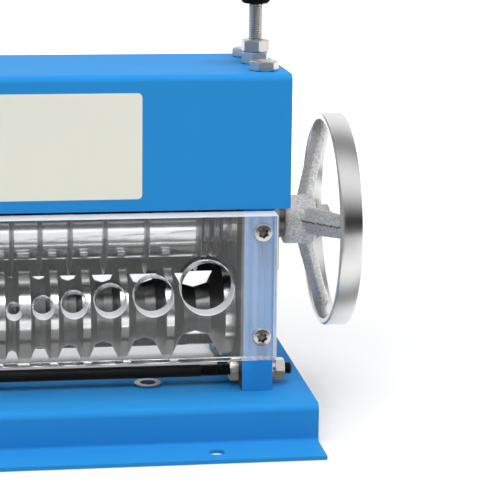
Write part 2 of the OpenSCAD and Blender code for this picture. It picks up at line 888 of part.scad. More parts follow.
module cable_gland() {
    wall_end = gland_in + box_t;
    color("black") left_side() along_x(box_x + box_l - wall_end, 0, button_z) difference() {
        union() {
            cylinder(d = gland_d - 2 * gland_fit, h = wall_end);
            translate([0, 0, wall_end]) hex(gland_hex_w, gland_hex_h);
            translate([0, 0, wall_end + gland_hex_h]) cylinder(d = gland_cap_d, h = gland_cap_h);
        }
        translate([0, 0, -cut]) cylinder(d = gland_bore, h = wall_end + gland_hex_h + gland_cap_h + 2 * cut);
    }
}

// Outline of one groove, from its right edge to its left edge, as axial place and radius
function groove(i) = let (d = channels[i][0], x = channel_x(i), depth = groove_depth(d)) [
    [x + d / 2, roller_r],
    [x + 0.27 * d, roller_r - 0.84 * depth],
    [x, roller_r - depth],
    [x - 0.27 * d, roller_r - 0.84 * depth],
    [x - d / 2, roller_r]];

function turned(points) = [for (p = points) [p[1], p[0]]];

module feed_roller() {
    journal_r = journal_d / 2;
    outline = concat(
        [[outer + bush_flange_t, 0], [outer + bush_flange_t, journal_r], [roller_right, journal_r],
         [roller_right, roller_r]],
        [for (i = [0 : last_channel]) each groove(i)],
        [[-roller_right, roller_r], [-roller_right, journal_r], [-journal_left, journal_r],
         [-journal_left, 0]]);
    color("gray") translate([head_x, 0, roller_z]) rotate([0, 90, 0]) difference() {
        rotate_extrude() polygon(turned(outline));
        translate([0, 0, -journal_left - cut]) cylinder(d = output_d + 2 * run_gap, h = output_depth + cut);
        key_slot(journal_d);
    }
}

// Key on top of a shaft on the left of the head, in that shaft's turned frame
module key_bar(d, grow) {
    translate([-d / 2 - key_h / 2 - grow, -key_w / 2 - grow, -gear_x - key_l - grow])
        cube([key_h + 2 * grow, key_w + 2 * grow, key_l + 2 * grow]);
}
module key_slot(d) { key_bar(d, run_gap); }

function involute(a) = tan(a) * 180 / PI - a;
function flank_angle(r) =
    let (base_r = pitch_r * cos(pressure_angle), a = r > base_r ? acos(base_r / r) : 0)
    90 / gear_teeth - gear_backlash / pitch_r * 90 / PI + involute(pressure_angle) - involute(a);
flank_radii = [root_r, pitch_r * cos(pressure_angle), pitch_r * 0.975, pitch_r, pitch_r + gear_module / 3,
    pitch_r + gear_module * 2 / 3, tip_r];
function polar(r, a) = r * [cos(a), sin(a)];

// Spur gear with one tooth on +X of its own plane
module gear_teeth_2d() {
    last = len(flank_radii) - 1;
    polygon([for (i = [0 : gear_teeth - 1]) let (a = i * 360 / gear_teeth)
        each concat([for (k = [0 : last]) polar(flank_radii[k], a - flank_angle(flank_radii[k]))],
                    [for (k = [last : -1 : 0]) polar(flank_radii[k], a + flank_angle(flank_radii[k]))])]);
}

module gear(z, seat_d) {
    color("slategray") translate([head_x, 0, z]) rotate([0, 90, 0]) difference() {
        translate([0, 0, -gear_x - gear_w]) linear_extrude(gear_w) rotate(180) gear_teeth_2d();
        translate([0, 0, -gear_x - gear_w - cut]) cylinder(d = seat_d + 2 * run_gap, h = gear_w + 2 * cut);
        key_slot(seat_d);
    }
}

module drive_gear() { gear(roller_z, journal_d); }
module driven_gear() { gear(shaft_z, gear_seat_d); }
module shaft_key(z, d) { color("silver") translate([head_x, 0, z]) rotate([0, 90, 0]) key_bar(d, 0); }
module drive_key() { shaft_key(roller_z, journal_d); }
module driven_key() { shaft_key(shaft_z, gear_seat_d); }

module output_shaft() {
    start = journal_left - output_depth + output_gap;
    color("silver") left_side() along_x(start, 0, roller_z)
        cylinder(d = output_d, h = gear_head_x + output_in - start);
}

module bearing_block() {
    half = slot_w / 2 - slide_gap;
    difference() {
        union() {
            translate([inner, -half, shaft_z - block_h / 2])
                cube([plate_t + block_flange_t, 2 * half, block_h]);
            translate([outer + slide_gap, -half - block_lip, shaft_z - block_h / 2])
                cube([block_flange_t - slide_gap, 2 * (half + block_lip), block_h]);
        }
        along_x(inner - cut, 0, shaft_z) cylinder(d = bush_d, h = plate_t + block_flange_t + 2 * cut);
        translate([screw_x, 0, block_top - pocket_h])
            cylinder(d = collar_d + 2 * pocket_gap, h = pocket_h + cut);
        for (sy = [-1, 1])
            translate([screw_x, sy * retainer_screw_y, block_top - retainer_screw_hole_l])
                cylinder(d = retainer_screw_d + 2 * hole_gap, h = retainer_screw_hole_l + cut);
    }
}

module left_bearing_block() { color("gray") left_side() bearing_block(); }
module right_bearing_block() { color("gray") right_side() bearing_block(); }

module shaft_bushes() {
    color("darkgoldenrod") both_sides()
        along_x(inner, 0, shaft_z) ring(bush_d, journal_d + 2 * run_gap, plate_t + block_flange_t);
}

module screw_retainers() {
    color("gray") both_sides() difference() {
        translate([screw_x - retainer_l / 2, -retainer_w / 2, block_top])
            cube([retainer_l, retainer_w, retainer_t]);
        translate([screw_x, 0, block_top - cut])
            cylinder(d = neck_d + 2 * slide_gap, h = retainer_t + 2 * cut);
        for (sy = [-1, 1])
            translate([screw_x, sy * retainer_screw_y, block_top - cut])
                cylinder(d = retainer_screw_d + 2 * hole_gap, h = retainer_t + 2 * cut);
    }
}

module retainer_screws() {
    color("dimgray") both_sides() for (sy = [-1, 1])
        translate([screw_x, sy * retainer_screw_y, block_top + retainer_t]) {
            cylinder(d = retainer_screw_head_d, h = retainer_screw_head_h);
            translate([0, 0, -retainer_t - retainer_screw_l])
                cylinder(d = retainer_screw_d, h = retainer_t + retainer_screw_l);
        }
}

// Stepped shaft from the gear seat on the left to the wheel thread on the right
module blade_shaft() {
    stack_end = channel_x(0) + blade_t / 2 + 2 * clamp_nut_t + stack_over;
    gear_end = gear_x + gear_w + journal_gap / 2;
    thread_end = hub_x + hub_l + wheel_washer_t + wheel_nut_h + wheel_thread_over;
    outline = [
        [-gear_end, 0], [-gear_end, gear_seat_d / 2], [-gear_x, gear_seat_d / 2],
        [-gear_x, journal_d / 2], [shoulder_x - shoulder_w, journal_d / 2],
        [shoulder_x - shoulder_w, spacer_d / 2],
        [shoulder_x, spacer_d / 2], [shoulder_x, stack_d / 2], [stack_end, stack_d / 2],
        [stack_end, journal_d / 2], [hub_x, journal_d / 2], [hub_x, wheel_seat_d / 2],
        [hub_x + hub_l, wheel_seat_d / 2], [hub_x + hub_l, wheel_thread_d / 2],
        [thread_end, wheel_thread_d / 2], [thread_end, 0]];
    color("gray") translate([head_x, 0, shaft_z]) rotate([0, 90, 0]) difference() {
        rotate_extrude() polygon(turned(outline));
        key_slot(gear_seat_d);
    }
}

module blades() {
    bore = stack_d / 2 + run_gap;
    half = blade_t / 2;
    edge = blade_t / 20;
    color("dimgray") for (i = [0 : last_channel])
        along_x(head_x + channel_x(i), 0, shaft_z)
            rotate_extrude() polygon([[bore, -half], [blade_r - blade_bevel, -half], [blade_r, -edge],
                                      [blade_r, edge], [blade_r - blade_bevel, half], [bore, half]]);
}

module spacers() {
    bore = stack_d + 2 * run_gap;
    color("silver") for (i = [0 : last_channel]) {
        left_end = i == last_channel ? shoulder_x : channel_x(i + 1) + blade_t / 2;
        along_x(head_x + left_end, 0, shaft_z) ring(spacer_d, bore, channel_x(i) - blade_t / 2 - left_end);
    }
}

// Round slotted nuts that clamp the blades and spacers
module clamp_nuts() {
    r = clamp_nut_d / 2;
    bore = stack_d / 2 + run_gap;
    color("dimgray") for (k = [0, 1])
        translate([head_x + channel_x(0) + blade_t / 2 + k * (clamp_nut_t + clamp_nut_gap), 0, shaft_z])
            rotate([0, 90, 0]) difference() {
                rotate_extrude() polygon([[bore, 0], [r - edge_break, 0], [r, edge_break],
                    [r, clamp_nut_t - edge_break], [r - edge_break, clamp_nut_t], [bore, clamp_nut_t]]);
                for (i = [0 : nut_slots - 1])
                    rotate(nut_slot_turn + i * 360 / nut_slots)
                        translate([r - nut_slot_depth, -nut_slot / 2, -cut])
                            cube([nut_slot_depth + cut, nut_slot, clamp_nut_t + 2 * cut]);
            }
}

// Slice of a spoke: a ridge towards the machine, a flat back with drafted sides
module spoke_slice(r, x, w) {
    side = w / 2;
    back = side * 0.8;
    translate([x, 0, r]) linear_extrude(slice_t)
        polygon([[0, 0], [spoke_t / 3, side], [spoke_t, back], [spoke_t, -back], [spoke_t / 3, -side]]);
}

module handwheel() {
    r = wheel_d / 2;
    rim_in = r - rim_t;
    color("silver") translate([head_x, 0, shaft_z]) difference() {
        union() {
            along_x(rim_x, 0, 0) rotate_extrude() polygon([
                [rim_in + rim_edge, 0], [r - rim_edge, 0], [r, rim_edge], [r, rim_w - rim_edge],
                [r - rim_edge, rim_w], [rim_in + rim_edge, rim_w], [rim_in, rim_w - rim_edge],
                [rim_in, rim_edge]]);
            along_x(hub_x, 0, 0) rotate_extrude() polygon([
                [0, 0], [hub_d / 2 - hub_edge, 0], [hub_d / 2, hub_edge], [hub_d / 2, hub_l - hub_edge],
                [hub_d / 2 - hub_edge, hub_l], [0, hub_l]]);
            for (i = [0 : spoke_count - 1]) rotate([90 - spoke_lift + i * 360 / spoke_count, 0, 0]) hull() {
                spoke_slice(hub_d / 2 - spoke_in, hub_x + hub_l - spoke_t - spoke_sink, spoke_w);
                spoke_slice(rim_in, rim_x + (rim_w - spoke_t) / 2, spoke_tip_w);
            }
        }
        along_x(hub_x - cut, 0, 0) cylinder(d = wheel_seat_d + 2 * run_gap, h = hub_l + 2 * cut);
    }
}

module wheel_nut() {
    color("silver") along_x(head_x + hub_x + hub_l, 0, shaft_z) {
        ring(wheel_washer_d, wheel_thread_d + 2 * run_gap, wheel_washer_t);
        translate([0, 0, wheel_washer_t]) nut(wheel_nut_w, wheel_nut_h, wheel_thread_d + 2 * run_gap);
    }
}

// Levels along an adjusting screw
screw_foot = block_top - pocket_h + pocket_gap;
knob_z = cover_top + 2 * nut_h + screw_show;
knob_hub_d = 19;
knob_hub_h = 13;
knob_head_h = 18;
knob_bore_h = 20;
knob_bore_gap = 1;
knob_lobes = 6;
knob_lobe_d = 12.8;
knob_foot = 1.5;

module adjusting_screw() {
    top = knob_z + knob_bore_h - knob_bore_gap;
    neck_top = block_top + retainer_t + neck_h;
    translate([screw_x, 0, 0]) rotate_extrude() polygon([
        [0, screw_foot], [collar_d / 2, screw_foot], [collar_d / 2, screw_foot + collar_h],
        [neck_d / 2, screw_foot + collar_h], [neck_d / 2, neck_top],
        [screw_d / 2, neck_top + (screw_d - neck_d) / 2], [screw_d / 2, top], [0, top]]);
}

module left_adjusting_screw() { color("silver") left_side() adjusting_screw(); }
module right_adjusting_screw() { color("silver") right_side() adjusting_screw(); }

// Star knob: round hub below, lobed head above with a domed crown
module knob() {
    reach = (knob_d - knob_lobe_d) / 2;
    hub_r = knob_hub_d / 2;
    head = knob_z + knob_hub_h;
    translate([screw_x, 0, 0]) difference() {
        union() {
            translate([0, 0, knob_z]) rotate_extrude() polygon([[0, 0], [hub_r - knob_foot, 0],
                [hub_r, knob_foot], [hub_r, knob_hub_h + cut], [0, knob_hub_h + cut]]);
            intersection() {
                translate([0, 0, head]) linear_extrude(knob_head_h) {
                    circle(reach);
                    for (i = [0 : knob_lobes - 1])
                        rotate(i * 360 / knob_lobes) translate([reach, 0]) circle(d = knob_lobe_d);
                }
                translate([0, 0, head + knob_head_h - knob_d]) sphere(knob_d);
            }
        }
        translate([0, 0, knob_z - cut]) cylinder(d = screw_d + 2 * run_gap, h = knob_bore_h + cut);
    }
}

module left_knob() { color("#202020") left_side() knob(); }
module right_knob() { color("#202020") right_side() knob(); }

base_plate();
base_washers();
deck_bolts();
left_side_plate();
right_side_plate();
left_cap_bar();
right_cap_bar();
cap_screws();
top_cover();
cover_bolts();
thread_nuts();
lock_nuts();
feed_guard();
guard_screws();
front_tie_rod();
rear_tie_rod();
tie_rod_nuts();
tie_rod_washers();
spring_washers();
roller_bushes();
discharge_plate();
gear_case();
gear_case_screws();
motor_plate();
gear_head();
gear_head_bolts();
motor_body();
motor_end_bell();
control_box();
control_box_lid();
lid_screws();
run_capacitor();
contact_blocks();
button_bezels();
cable_gland();
feed_roller();
drive_gear();
drive_key();
output_shaft();
left_bearing_block();
right_bearing_block();
shaft_bushes();
screw_retainers();
retainer_screws();
blade_shaft();
blades();
spacers();
clamp_nuts();
driven_gear();
driven_key();
handwheel();
wheel_nut();
left_adjusting_screw();
left_knob();
right_adjusting_screw();
right_knob();
start_button();
stop_button();
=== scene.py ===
import math

import bmesh
import bpy
from mathutils import Matrix, Vector, noise


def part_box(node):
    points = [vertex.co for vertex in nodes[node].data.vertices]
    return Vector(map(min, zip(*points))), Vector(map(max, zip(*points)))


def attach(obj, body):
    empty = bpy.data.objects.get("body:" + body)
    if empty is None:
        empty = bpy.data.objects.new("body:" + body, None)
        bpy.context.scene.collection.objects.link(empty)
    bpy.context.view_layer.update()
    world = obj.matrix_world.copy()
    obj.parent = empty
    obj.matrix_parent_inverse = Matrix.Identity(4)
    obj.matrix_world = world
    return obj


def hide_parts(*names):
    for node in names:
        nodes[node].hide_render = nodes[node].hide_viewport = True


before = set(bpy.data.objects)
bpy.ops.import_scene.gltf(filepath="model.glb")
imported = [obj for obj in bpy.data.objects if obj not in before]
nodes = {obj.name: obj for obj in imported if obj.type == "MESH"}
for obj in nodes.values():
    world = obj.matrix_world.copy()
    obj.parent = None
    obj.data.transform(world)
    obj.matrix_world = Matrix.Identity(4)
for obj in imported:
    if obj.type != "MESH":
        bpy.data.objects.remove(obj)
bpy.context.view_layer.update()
scene = bpy.context.scene
mm = 0.001
print("frame loaded:", len(nodes), "nodes")


def linear(red, green, blue):  # screen colour 0..255 to scene colour
    def one(value):
        value /= 255
        return value / 12.92 if value <= 0.04045 else ((value + 0.055) / 1.055) ** 2.4
    return (one(red), one(green), one(blue), 1.0)


def meshObject(name, verts, faces, smooth=True):
    mesh = bpy.data.meshes.new(name)
    mesh.from_pydata([tuple(v) for v in verts], [], faces)
    mesh.update()
    obj = bpy.data.objects.new(name, mesh)
    scene.collection.objects.link(obj)
    mesh.polygons.foreach_set("use_smooth", [smooth] * len(mesh.polygons))
    return obj


def finishMesh(obj, sharpAngle=38):  # outward faces and crisp edges
    bm = bmesh.new()
    bm.from_mesh(obj.data)
    bmesh.ops.remove_doubles(bm, verts=bm.verts, dist=1e-7)
    bmesh.ops.recalc_face_normals(bm, faces=bm.faces)
    limit = math.radians(sharpAngle)
    for edge in bm.edges:
        if len(edge.link_faces) == 2:
            edge.smooth = edge.calc_face_angle(0) < limit
    bm.to_mesh(obj.data)
    bm.free()
    return obj


def applyModifiers(obj):
    graph = bpy.context.evaluated_depsgraph_get()
    made = bpy.data.meshes.new_from_object(obj.evaluated_get(graph))
    obj.modifiers.clear()
    obj.data = made


def latheData(profile, steps, place):  # profile of (radius, along), place maps local to the frame
    verts, faces, rows = [], [], []
    for radius, along in profile:
        if radius < 1e-9:
            rows.append([len(verts)] * steps)
            verts.append(place @ Vector((0, 0, along)))
            continue
        rows.append(list(range(len(verts), len(verts) + steps)))
        for i in range(steps):
            turn = 2 * math.pi * i / steps
            verts.append(place @ Vector((radius * math.cos(turn), radius * math.sin(turn), along)))
    for low, high in zip(rows, rows[1:]):
        for i in range(steps):
            j = (i + 1) % steps
            quad = [low[i], low[j], high[j], high[i]]
            quad = [v for k, v in enumerate(quad) if v not in quad[:k]]
            if len(quad) > 2:
                faces.append(quad)
    return verts, faces


def merged(name, chunks, sharpAngle=38):  # several vertex and face lists in one object
    verts, faces = [], []
    for someVerts, someFaces in chunks:
        base = len(verts)
        verts += list(someVerts)
        faces += [[base + i for i in face] for face in someFaces]
    return finishMesh(meshObject(name, verts, faces), sharpAngle)


def alongX(x, y, z):  # local +Z becomes +X
    turn = Matrix.Rotation(math.radians(90), 4, "Y")
    return Matrix.Translation((x * mm, y * mm, z * mm)) @ turn @ Matrix.Scale(mm, 4)


def alongZ(x, y, z):
    return Matrix.Translation((x * mm, y * mm, z * mm)) @ Matrix.Scale(mm, 4)


def towards(x, y, z, direction):  # local +Z points along direction
    turn = Vector(direction).to_track_quat("Z", "Y").to_matrix().to_4x4()
    return Matrix.Translation((x * mm, y * mm, z * mm)) @ turn @ Matrix.Scale(mm, 4)


def stands(obj, body, slotName, *cadNodes):  # the piece rides on a body and stands for its nodes
    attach(obj, body)
    if cadNodes:
        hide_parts(*cadNodes)


def paint(obj, *materials):
    obj.data.materials.clear()
    for material in materials:
        obj.data.materials.append(material)


def addNode(tree, kind, **values):
    made = tree.nodes.new(kind)
    for key, value in values.items():
        setattr(made, key, value)
    return made


def startGroup(name, inputs, outputs):
    group = bpy.data.node_groups.new(name, "ShaderNodeTree")
    for label, kind, value in inputs:
        socket = group.interface.new_socket(name=label, in_out="INPUT", socket_type=kind)
        socket.default_value = value
    for label, kind in outputs:
        group.interface.new_socket(name=label, in_out="OUTPUT", socket_type=kind)
    return group, addNode(group, "NodeGroupInput"), addNode(group, "NodeGroupOutput")


def math2(tree, operation, first, second):
    made = addNode(tree, "ShaderNodeMath", operation=operation)
    for index, value in enumerate((first, second)):
        if isinstance(value, (int, float)):
            made.inputs[index].default_value = value
        else:
            tree.links.new(value, made.inputs[index])
    return made.outputs[0]


def rangeNode(tree, value, fromMin, fromMax, toMin, toMax, **more):
    made = addNode(tree, "ShaderNodeMapRange", **more)
    for socket, number in zip(("From Min", "From Max", "To Min", "To Max"), (fromMin, fromMax, toMin, toMax)):
        made.inputs[socket].default_value = number
    tree.links.new(value, made.inputs["Value"])
    return made.outputs[0]


def driftOutputs(group, source, sink, value):  # colour and roughness that drift with a noise around 0.5
    centred = math2(group, "SUBTRACT", value, 0.5)
    level = math2(group, "ADD", math2(group, "MULTIPLY", centred, source.outputs["Drift"]), 1.0)
    tint = addNode(group, "ShaderNodeVectorMath", operation="SCALE")
    group.links.new(source.outputs["Color"], tint.inputs[0])
    group.links.new(level, tint.inputs["Scale"])
    group.links.new(tint.outputs["Vector"], sink.inputs["Color"])
    rough = math2(group, "MULTIPLY", centred, source.outputs["Roughness Drift"])
    group.links.new(math2(group, "ADD", source.outputs["Roughness"], rough), sink.inputs["Roughness"])


def makeMottle():  # slow colour drift and a fine height for coats and castings
    group, source, sink = startGroup("surface mottle", [
        ("Color", "NodeSocketColor", (0.5, 0.5, 0.5, 1)),
        ("Drift", "NodeSocketFloat", 0.1),
        ("Drift Scale", "NodeSocketFloat", 20.0),
        ("Grain Scale", "NodeSocketFloat", 900.0),
        ("Roughness", "NodeSocketFloat", 0.4),
        ("Roughness Drift", "NodeSocketFloat", 0.1)],
        [("Color", "NodeSocketColor"), ("Roughness", "NodeSocketFloat"), ("Height", "NodeSocketFloat")])
    link = group.links.new
    coords = addNode(group, "ShaderNodeTexCoord")
    slow = addNode(group, "ShaderNodeTexNoise")
    slow.inputs["Detail"].default_value = 4
    link(coords.outputs["Object"], slow.inputs["Vector"])
    link(source.outputs["Drift Scale"], slow.inputs["Scale"])
    driftOutputs(group, source, sink, slow.outputs["Fac"])
    fine = addNode(group, "ShaderNodeTexNoise")
    fine.inputs["Detail"].default_value = 3
    link(coords.outputs["Object"], fine.inputs["Vector"])
    link(source.outputs["Grain Scale"], fine.inputs["Scale"])
    link(fine.outputs["Fac"], sink.inputs["Height"])
    return group


def makeTurnedLines():  # lathe marks: fast change along X, slow change around it
    group, source, sink = startGroup("turned lines", [
        ("Along", "NodeSocketFloat", 2200.0),
        ("Around", "NodeSocketFloat", 6.0),
        ("Color", "NodeSocketColor", (0.5, 0.5, 0.5, 1)),
        ("Drift", "NodeSocketFloat", 0.2),
        ("Roughness", "NodeSocketFloat", 0.25),
        ("Roughness Drift", "NodeSocketFloat", 0.15)],
        [("Color", "NodeSocketColor"), ("Roughness", "NodeSocketFloat"), ("Height", "NodeSocketFloat")])
    link = group.links.new
    coords = addNode(group, "ShaderNodeTexCoord")
    split = addNode(group, "ShaderNodeSeparateXYZ")
    link(coords.outputs["Object"], split.inputs[0])
    joined = addNode(group, "ShaderNodeCombineXYZ")
    link(math2(group, "MULTIPLY", split.outputs["X"], source.outputs["Along"]), joined.inputs["X"])
    link(math2(group, "MULTIPLY", split.outputs["Y"], source.outputs["Around"]), joined.inputs["Y"])
    link(math2(group, "MULTIPLY", split.outputs["Z"], source.outputs["Around"]), joined.inputs["Z"])
    lines = addNode(group, "ShaderNodeTexNoise")
    lines.inputs["Scale"].default_value = 1
    lines.inputs["Detail"].default_value = 2
    link(joined.outputs[0], lines.inputs["Vector"])
    driftOutputs(group, source, sink, lines.outputs["Fac"])
    link(lines.outputs["Fac"], sink.inputs["Height"])
    return group


mottle = makeMottle()
turnedLines = makeTurnedLines()
print("shader groups ready")


def coatedMaterial(name, group, groupValues, bump, metallic=0.0, coat=0.0, coatRough=0.1, **sockets):
    material = bpy.data.materials.new(name)
    material.use_nodes = True
    tree = material.node_tree
    shader = tree.nodes["Principled BSDF"]
    effect = addNode(tree, "ShaderNodeGroup", node_tree=group)
    for key, value in groupValues.items():
        effect.inputs[key].default_value = value
    tree.links.new(effect.outputs["Color"], shader.inputs["Base Color"])
    tree.links.new(effect.outputs["Roughness"], shader.inputs["Roughness"])
    raised = addNode(tree, "ShaderNodeBump")
    raised.inputs["Strength"].default_value = bump[0]
    raised.inputs["Distance"].default_value = bump[1] * mm
    tree.links.new(effect.outputs["Height"], raised.inputs["Height"])
    tree.links.new(raised.outputs["Normal"], shader.inputs["Normal"])
    shader.inputs["Metallic"].default_value = metallic
    shader.inputs["Coat Weight"].default_value = coat
    shader.inputs["Coat Roughness"].default_value = coatRough
    for key, value in sockets.items():
        shader.inputs[key.replace("_", " ")].default_value = value
    return material


unevenness = 0.12  # how far the roughness drifts


def coat(name, colour, roughness, drift=0.06, grain=900.0, bump=(0.12, 0.05), patch=18.0, **more):
    return coatedMaterial(name, mottle, {
        "Color": colour, "Drift": drift, "Drift Scale": patch, "Grain Scale": grain,
        "Roughness": roughness, "Roughness Drift": unevenness}, bump, **more)


def turned(name, colour, roughness, along=2200.0, drift=0.25, bump=(0.08, 0.02), **more):
    return coatedMaterial(name, turnedLines, {
        "Along": along, "Around": 5.0, "Color": colour, "Drift": drift,
        "Roughness": roughness, "Roughness Drift": unevenness}, bump, metallic=1.0, **more)


finish = {
    "blue": linear(43, 135, 203), "primerShade": linear(46, 45, 50), "motorGrey": linear(62, 65, 70),
    "steel": (0.42, 0.42, 0.43, 1), "rollerSteel": (0.33, 0.33, 0.325, 1), "ridge": (0.82, 0.82, 0.81, 1),
    "bladeSteel": (0.20, 0.20, 0.21, 1),
    "zinc": (0.74, 0.725, 0.69, 1), "bolt": (0.32, 0.32, 0.32, 1), "bright": (0.80, 0.80, 0.80, 1),
    "cast": (0.70, 0.70, 0.70, 1), "bronze": (0.55, 0.36, 0.16, 1),
}
bluePaint = coat("blue powder coat", finish["blue"], 0.46, bump=(0.10, 0.06), grain=700.0,
                 Specular_IOR_Level=0.02)
# Grey primer for inside faces, made dark: partly painted shade for the inside of the head.
insidePaintAndShade = coat("grey primer", finish["primerShade"], 0.6, drift=0.12, bump=(0.2, 0.06), grain=800.0)
motorPaint = coat("dark motor enamel", finish["motorGrey"], 0.42, bump=(0.16, 0.08), grain=600.0)
steel = coat("milled steel", finish["steel"], 0.34, drift=0.18, grain=1500.0, metallic=1.0)
rollerSteel = turned("turned roller steel", finish["rollerSteel"], 0.34, along=1500.0)
# Dark oiled steel; thread roots and screw sockets also take it as painted shade.
darkSteel = turned("oiled shaft steel", (0.16, 0.16, 0.165, 1), 0.28, along=1500.0)
brightSteel = turned("polished spacer steel", finish["bright"], 0.17, along=900.0, drift=0.08)
ridgeSteel = turned("worn roller ridges", finish["ridge"], 0.2, along=1500.0, drift=0.12)
bladeSteel = turned("ground blade steel", finish["bladeSteel"], 0.30, along=5000.0)
zinc = coat("bright zinc plate", finish["zinc"], 0.24, drift=0.25, grain=1800.0, metallic=1.0)
boltSteel = coat("plated bolt steel", finish["bolt"], 0.3, drift=0.3, grain=1800.0, metallic=1.0)
plated = coat("plated nuts", (0.60, 0.59, 0.57, 1), 0.30, drift=0.3, grain=1800.0, metallic=0.85)
gearSteel = turned("gear steel", finish["steel"], 0.36, along=1200.0)
blackOxide = coat("black oxide", linear(17, 17, 18), 0.45, drift=0.3, grain=1600.0, Specular_IOR_Level=0.2)
sheetZinc = coat("galvanised tray", (0.78, 0.78, 0.80, 1), 0.42, drift=0.2, grain=300.0, metallic=0.85)
castAlloy = coat("cast alloy", finish["cast"], 0.5, drift=1.5, grain=700.0, bump=(0.8, 0.6), patch=640.0,
                 metallic=0.65)
# Dark line along the spoke ridges: painted shade of the crease.
ridgeShadeAlloy = coat("spoke ridge shade", (0.14, 0.14, 0.14, 1), 0.6, drift=0.8, grain=700.0, patch=640.0,
                 metallic=0.5)
gearHeadAlloy = coat("die cast housing", (0.55, 0.56, 0.57, 1), 0.44, drift=0.15, grain=800.0,
                     bump=(0.25, 0.15), metallic=0.9)
rimAlloy = turned("polished rim", (0.80, 0.80, 0.80, 1), 0.16, along=1400.0, drift=0.08, bump=(0.03, 0.02))
bronze = turned("bearing bronze", finish["bronze"], 0.3, along=1800.0)
blackPlastic = coat("black moulding", linear(13, 13, 14), 0.55, drift=0.2, grain=1100.0, bump=(0.25, 0.12),
                    Specular_IOR_Level=0.06)
boxPlastic = coat("box moulding", linear(58, 60, 63), 0.45, drift=0.1, grain=1300.0, bump=(0.3, 0.1))
whitePlastic = coat("capacitor shell", linear(225, 225, 220), 0.35, drift=0.05)
greenPlastic = coat("green button", linear(20, 140, 62), 0.28, drift=0.06, coat=0.3)
redPlastic = coat("red button", linear(200, 28, 26), 0.28, drift=0.06, coat=0.3)
stickerVinyl = coat("white vinyl", linear(226, 226, 214), 0.32, drift=0.02, grain=400.0, bump=(0.05, 0.03))


sheetGlass = {"drift": 0.02, "grain": 260.0, "uneven": 0.4, "index": 1.49, "streakDetail": 3,
              "film": (0.9, 0.93, 0.95, 1), "shadow": (0.96, 0.97, 0.98, 1)}


def makeAcrylic(name, colour, roughness, bump, clarity, haze=None):  # clear sheet, lamp light passes it
    material = coatedMaterial(name, mottle, {
        "Color": colour, "Drift": sheetGlass["drift"], "Grain Scale": sheetGlass["grain"],
        "Roughness": roughness, "Roughness Drift": roughness * sheetGlass["uneven"]}, bump,
        IOR=sheetGlass["index"], Transmission_Weight=clarity)
    tree = material.node_tree
    link = tree.links.new
    surface = tree.nodes["Principled BSDF"].outputs[0]
    if haze:  # scuffed haze with upright streaks where the sheet lies against the side plates
        coords = addNode(tree, "ShaderNodeTexCoord")
        split = addNode(tree, "ShaderNodeSeparateXYZ")
        link(coords.outputs["Object"], split.inputs[0])
        fromCentre = math2(tree, "SUBTRACT", split.outputs["X"], haze["centre"] * mm)
        away = math2(tree, "ABSOLUTE", fromCentre, 0.0)
        edge = math2(tree, "GREATER_THAN", away, haze["from"] * mm)
        streaks = addNode(tree, "ShaderNodeTexNoise", noise_dimensions="1D")
        streaks.inputs["Scale"].default_value = haze["streaks"]
        streaks.inputs["Detail"].default_value = sheetGlass["streakDetail"]
        link(split.outputs["X"], streaks.inputs["W"])
        streak = rangeNode(tree, streaks.outputs["Fac"], *haze["contrast"], 0.0, 2 * haze["amount"])
        # Painted highlight: a band of whiter film along the side plate's edge stands in for the highlight on
        # its rounded edge.
        start, stop = haze["from"] * mm, (haze["from"] + haze["line"]) * mm
        line = rangeNode(tree, away, start, stop, haze["edgeHighlightAmount"], 0.0)
        amount = math2(tree, "ADD", streak, line)
        film = addNode(tree, "ShaderNodeBsdfDiffuse")
        film.inputs["Color"].default_value = sheetGlass["film"]
        hazy = addNode(tree, "ShaderNodeMixShader")
        link(math2(tree, "MULTIPLY", edge, amount), hazy.inputs[0])
        link(surface, hazy.inputs[1])
        link(film.outputs[0], hazy.inputs[2])
        surface = hazy.outputs[0]
    clear = addNode(tree, "ShaderNodeBsdfTransparent")
    clear.inputs["Color"].default_value = sheetGlass["shadow"]
    path = addNode(tree, "ShaderNodeLightPath")
    mix = addNode(tree, "ShaderNodeMixShader")
    link(path.outputs["Is Shadow Ray"], mix.inputs[0])
    link(surface, mix.inputs[1])
    link(clear.outputs[0], mix.inputs[2])
    link(mix.outputs[0], tree.nodes["Material Output"].inputs["Surface"])
    return material


# Haze film over the side plates; line and its amount set the painted highlight along the plate's edge.
plateHaze = {"centre": 102.0, "from": 111.0, "streaks": 260.0, "contrast": (0.3, 0.7), "amount": 0.14,
             "line": 3.5, "edgeHighlightAmount": 0.2}
acrylic = makeAcrylic("clear acrylic", (0.97, 0.985, 0.99, 1), 0.01, (0.02, 0.05), 1.0, plateHaze)
sawnAcrylic = makeAcrylic("machined acrylic", (0.95, 0.96, 0.97, 1), 0.4, (0.3, 0.1), 0.4)
# Darker, clearer copy of the machined acrylic: painted shade for hole walls that face down.
shadedHoleAcrylic = makeAcrylic("bored acrylic", (0.80, 0.84, 0.86, 1), 0.2, (0.3, 0.1), 0.9)
print("materials ready")

# Finish of each node that keeps its own solid
wear = {
    bluePaint: "base_plate left_side_plate right_side_plate top_cover gear_case motor_plate",
    motorPaint: "motor_body motor_end_bell",
    steel: "left_cap_bar right_cap_bar left_bearing_block right_bearing_block screw_retainers "
           "drive_key driven_key",
    rollerSteel: "feed_roller output_shaft",
    darkSteel: "clamp_nuts",
    gearSteel: "drive_gear driven_gear",
    bladeSteel: "blades",
    brightSteel: "spacers",
    zinc: "tie_rod_nuts tie_rod_washers spring_washers wheel_nut button_bezels",
    boltSteel: "base_washers deck_bolts cap_screws gear_head_bolts retainer_screws",
    plated: "cover_bolts thread_nuts lock_nuts",
    sheetZinc: "discharge_plate",
    gearHeadAlloy: "gear_head",
    bronze: "roller_bushes shaft_bushes",
    blackPlastic: "left_knob right_knob contact_blocks cable_gland",
    boxPlastic: "control_box control_box_lid",
    whitePlastic: "run_capacitor",
    greenPlastic: "start_button",
    redPlastic: "stop_button",
}
for material, names in wear.items():
    for nodeName in names.split():
        paint(nodes[nodeName], material)

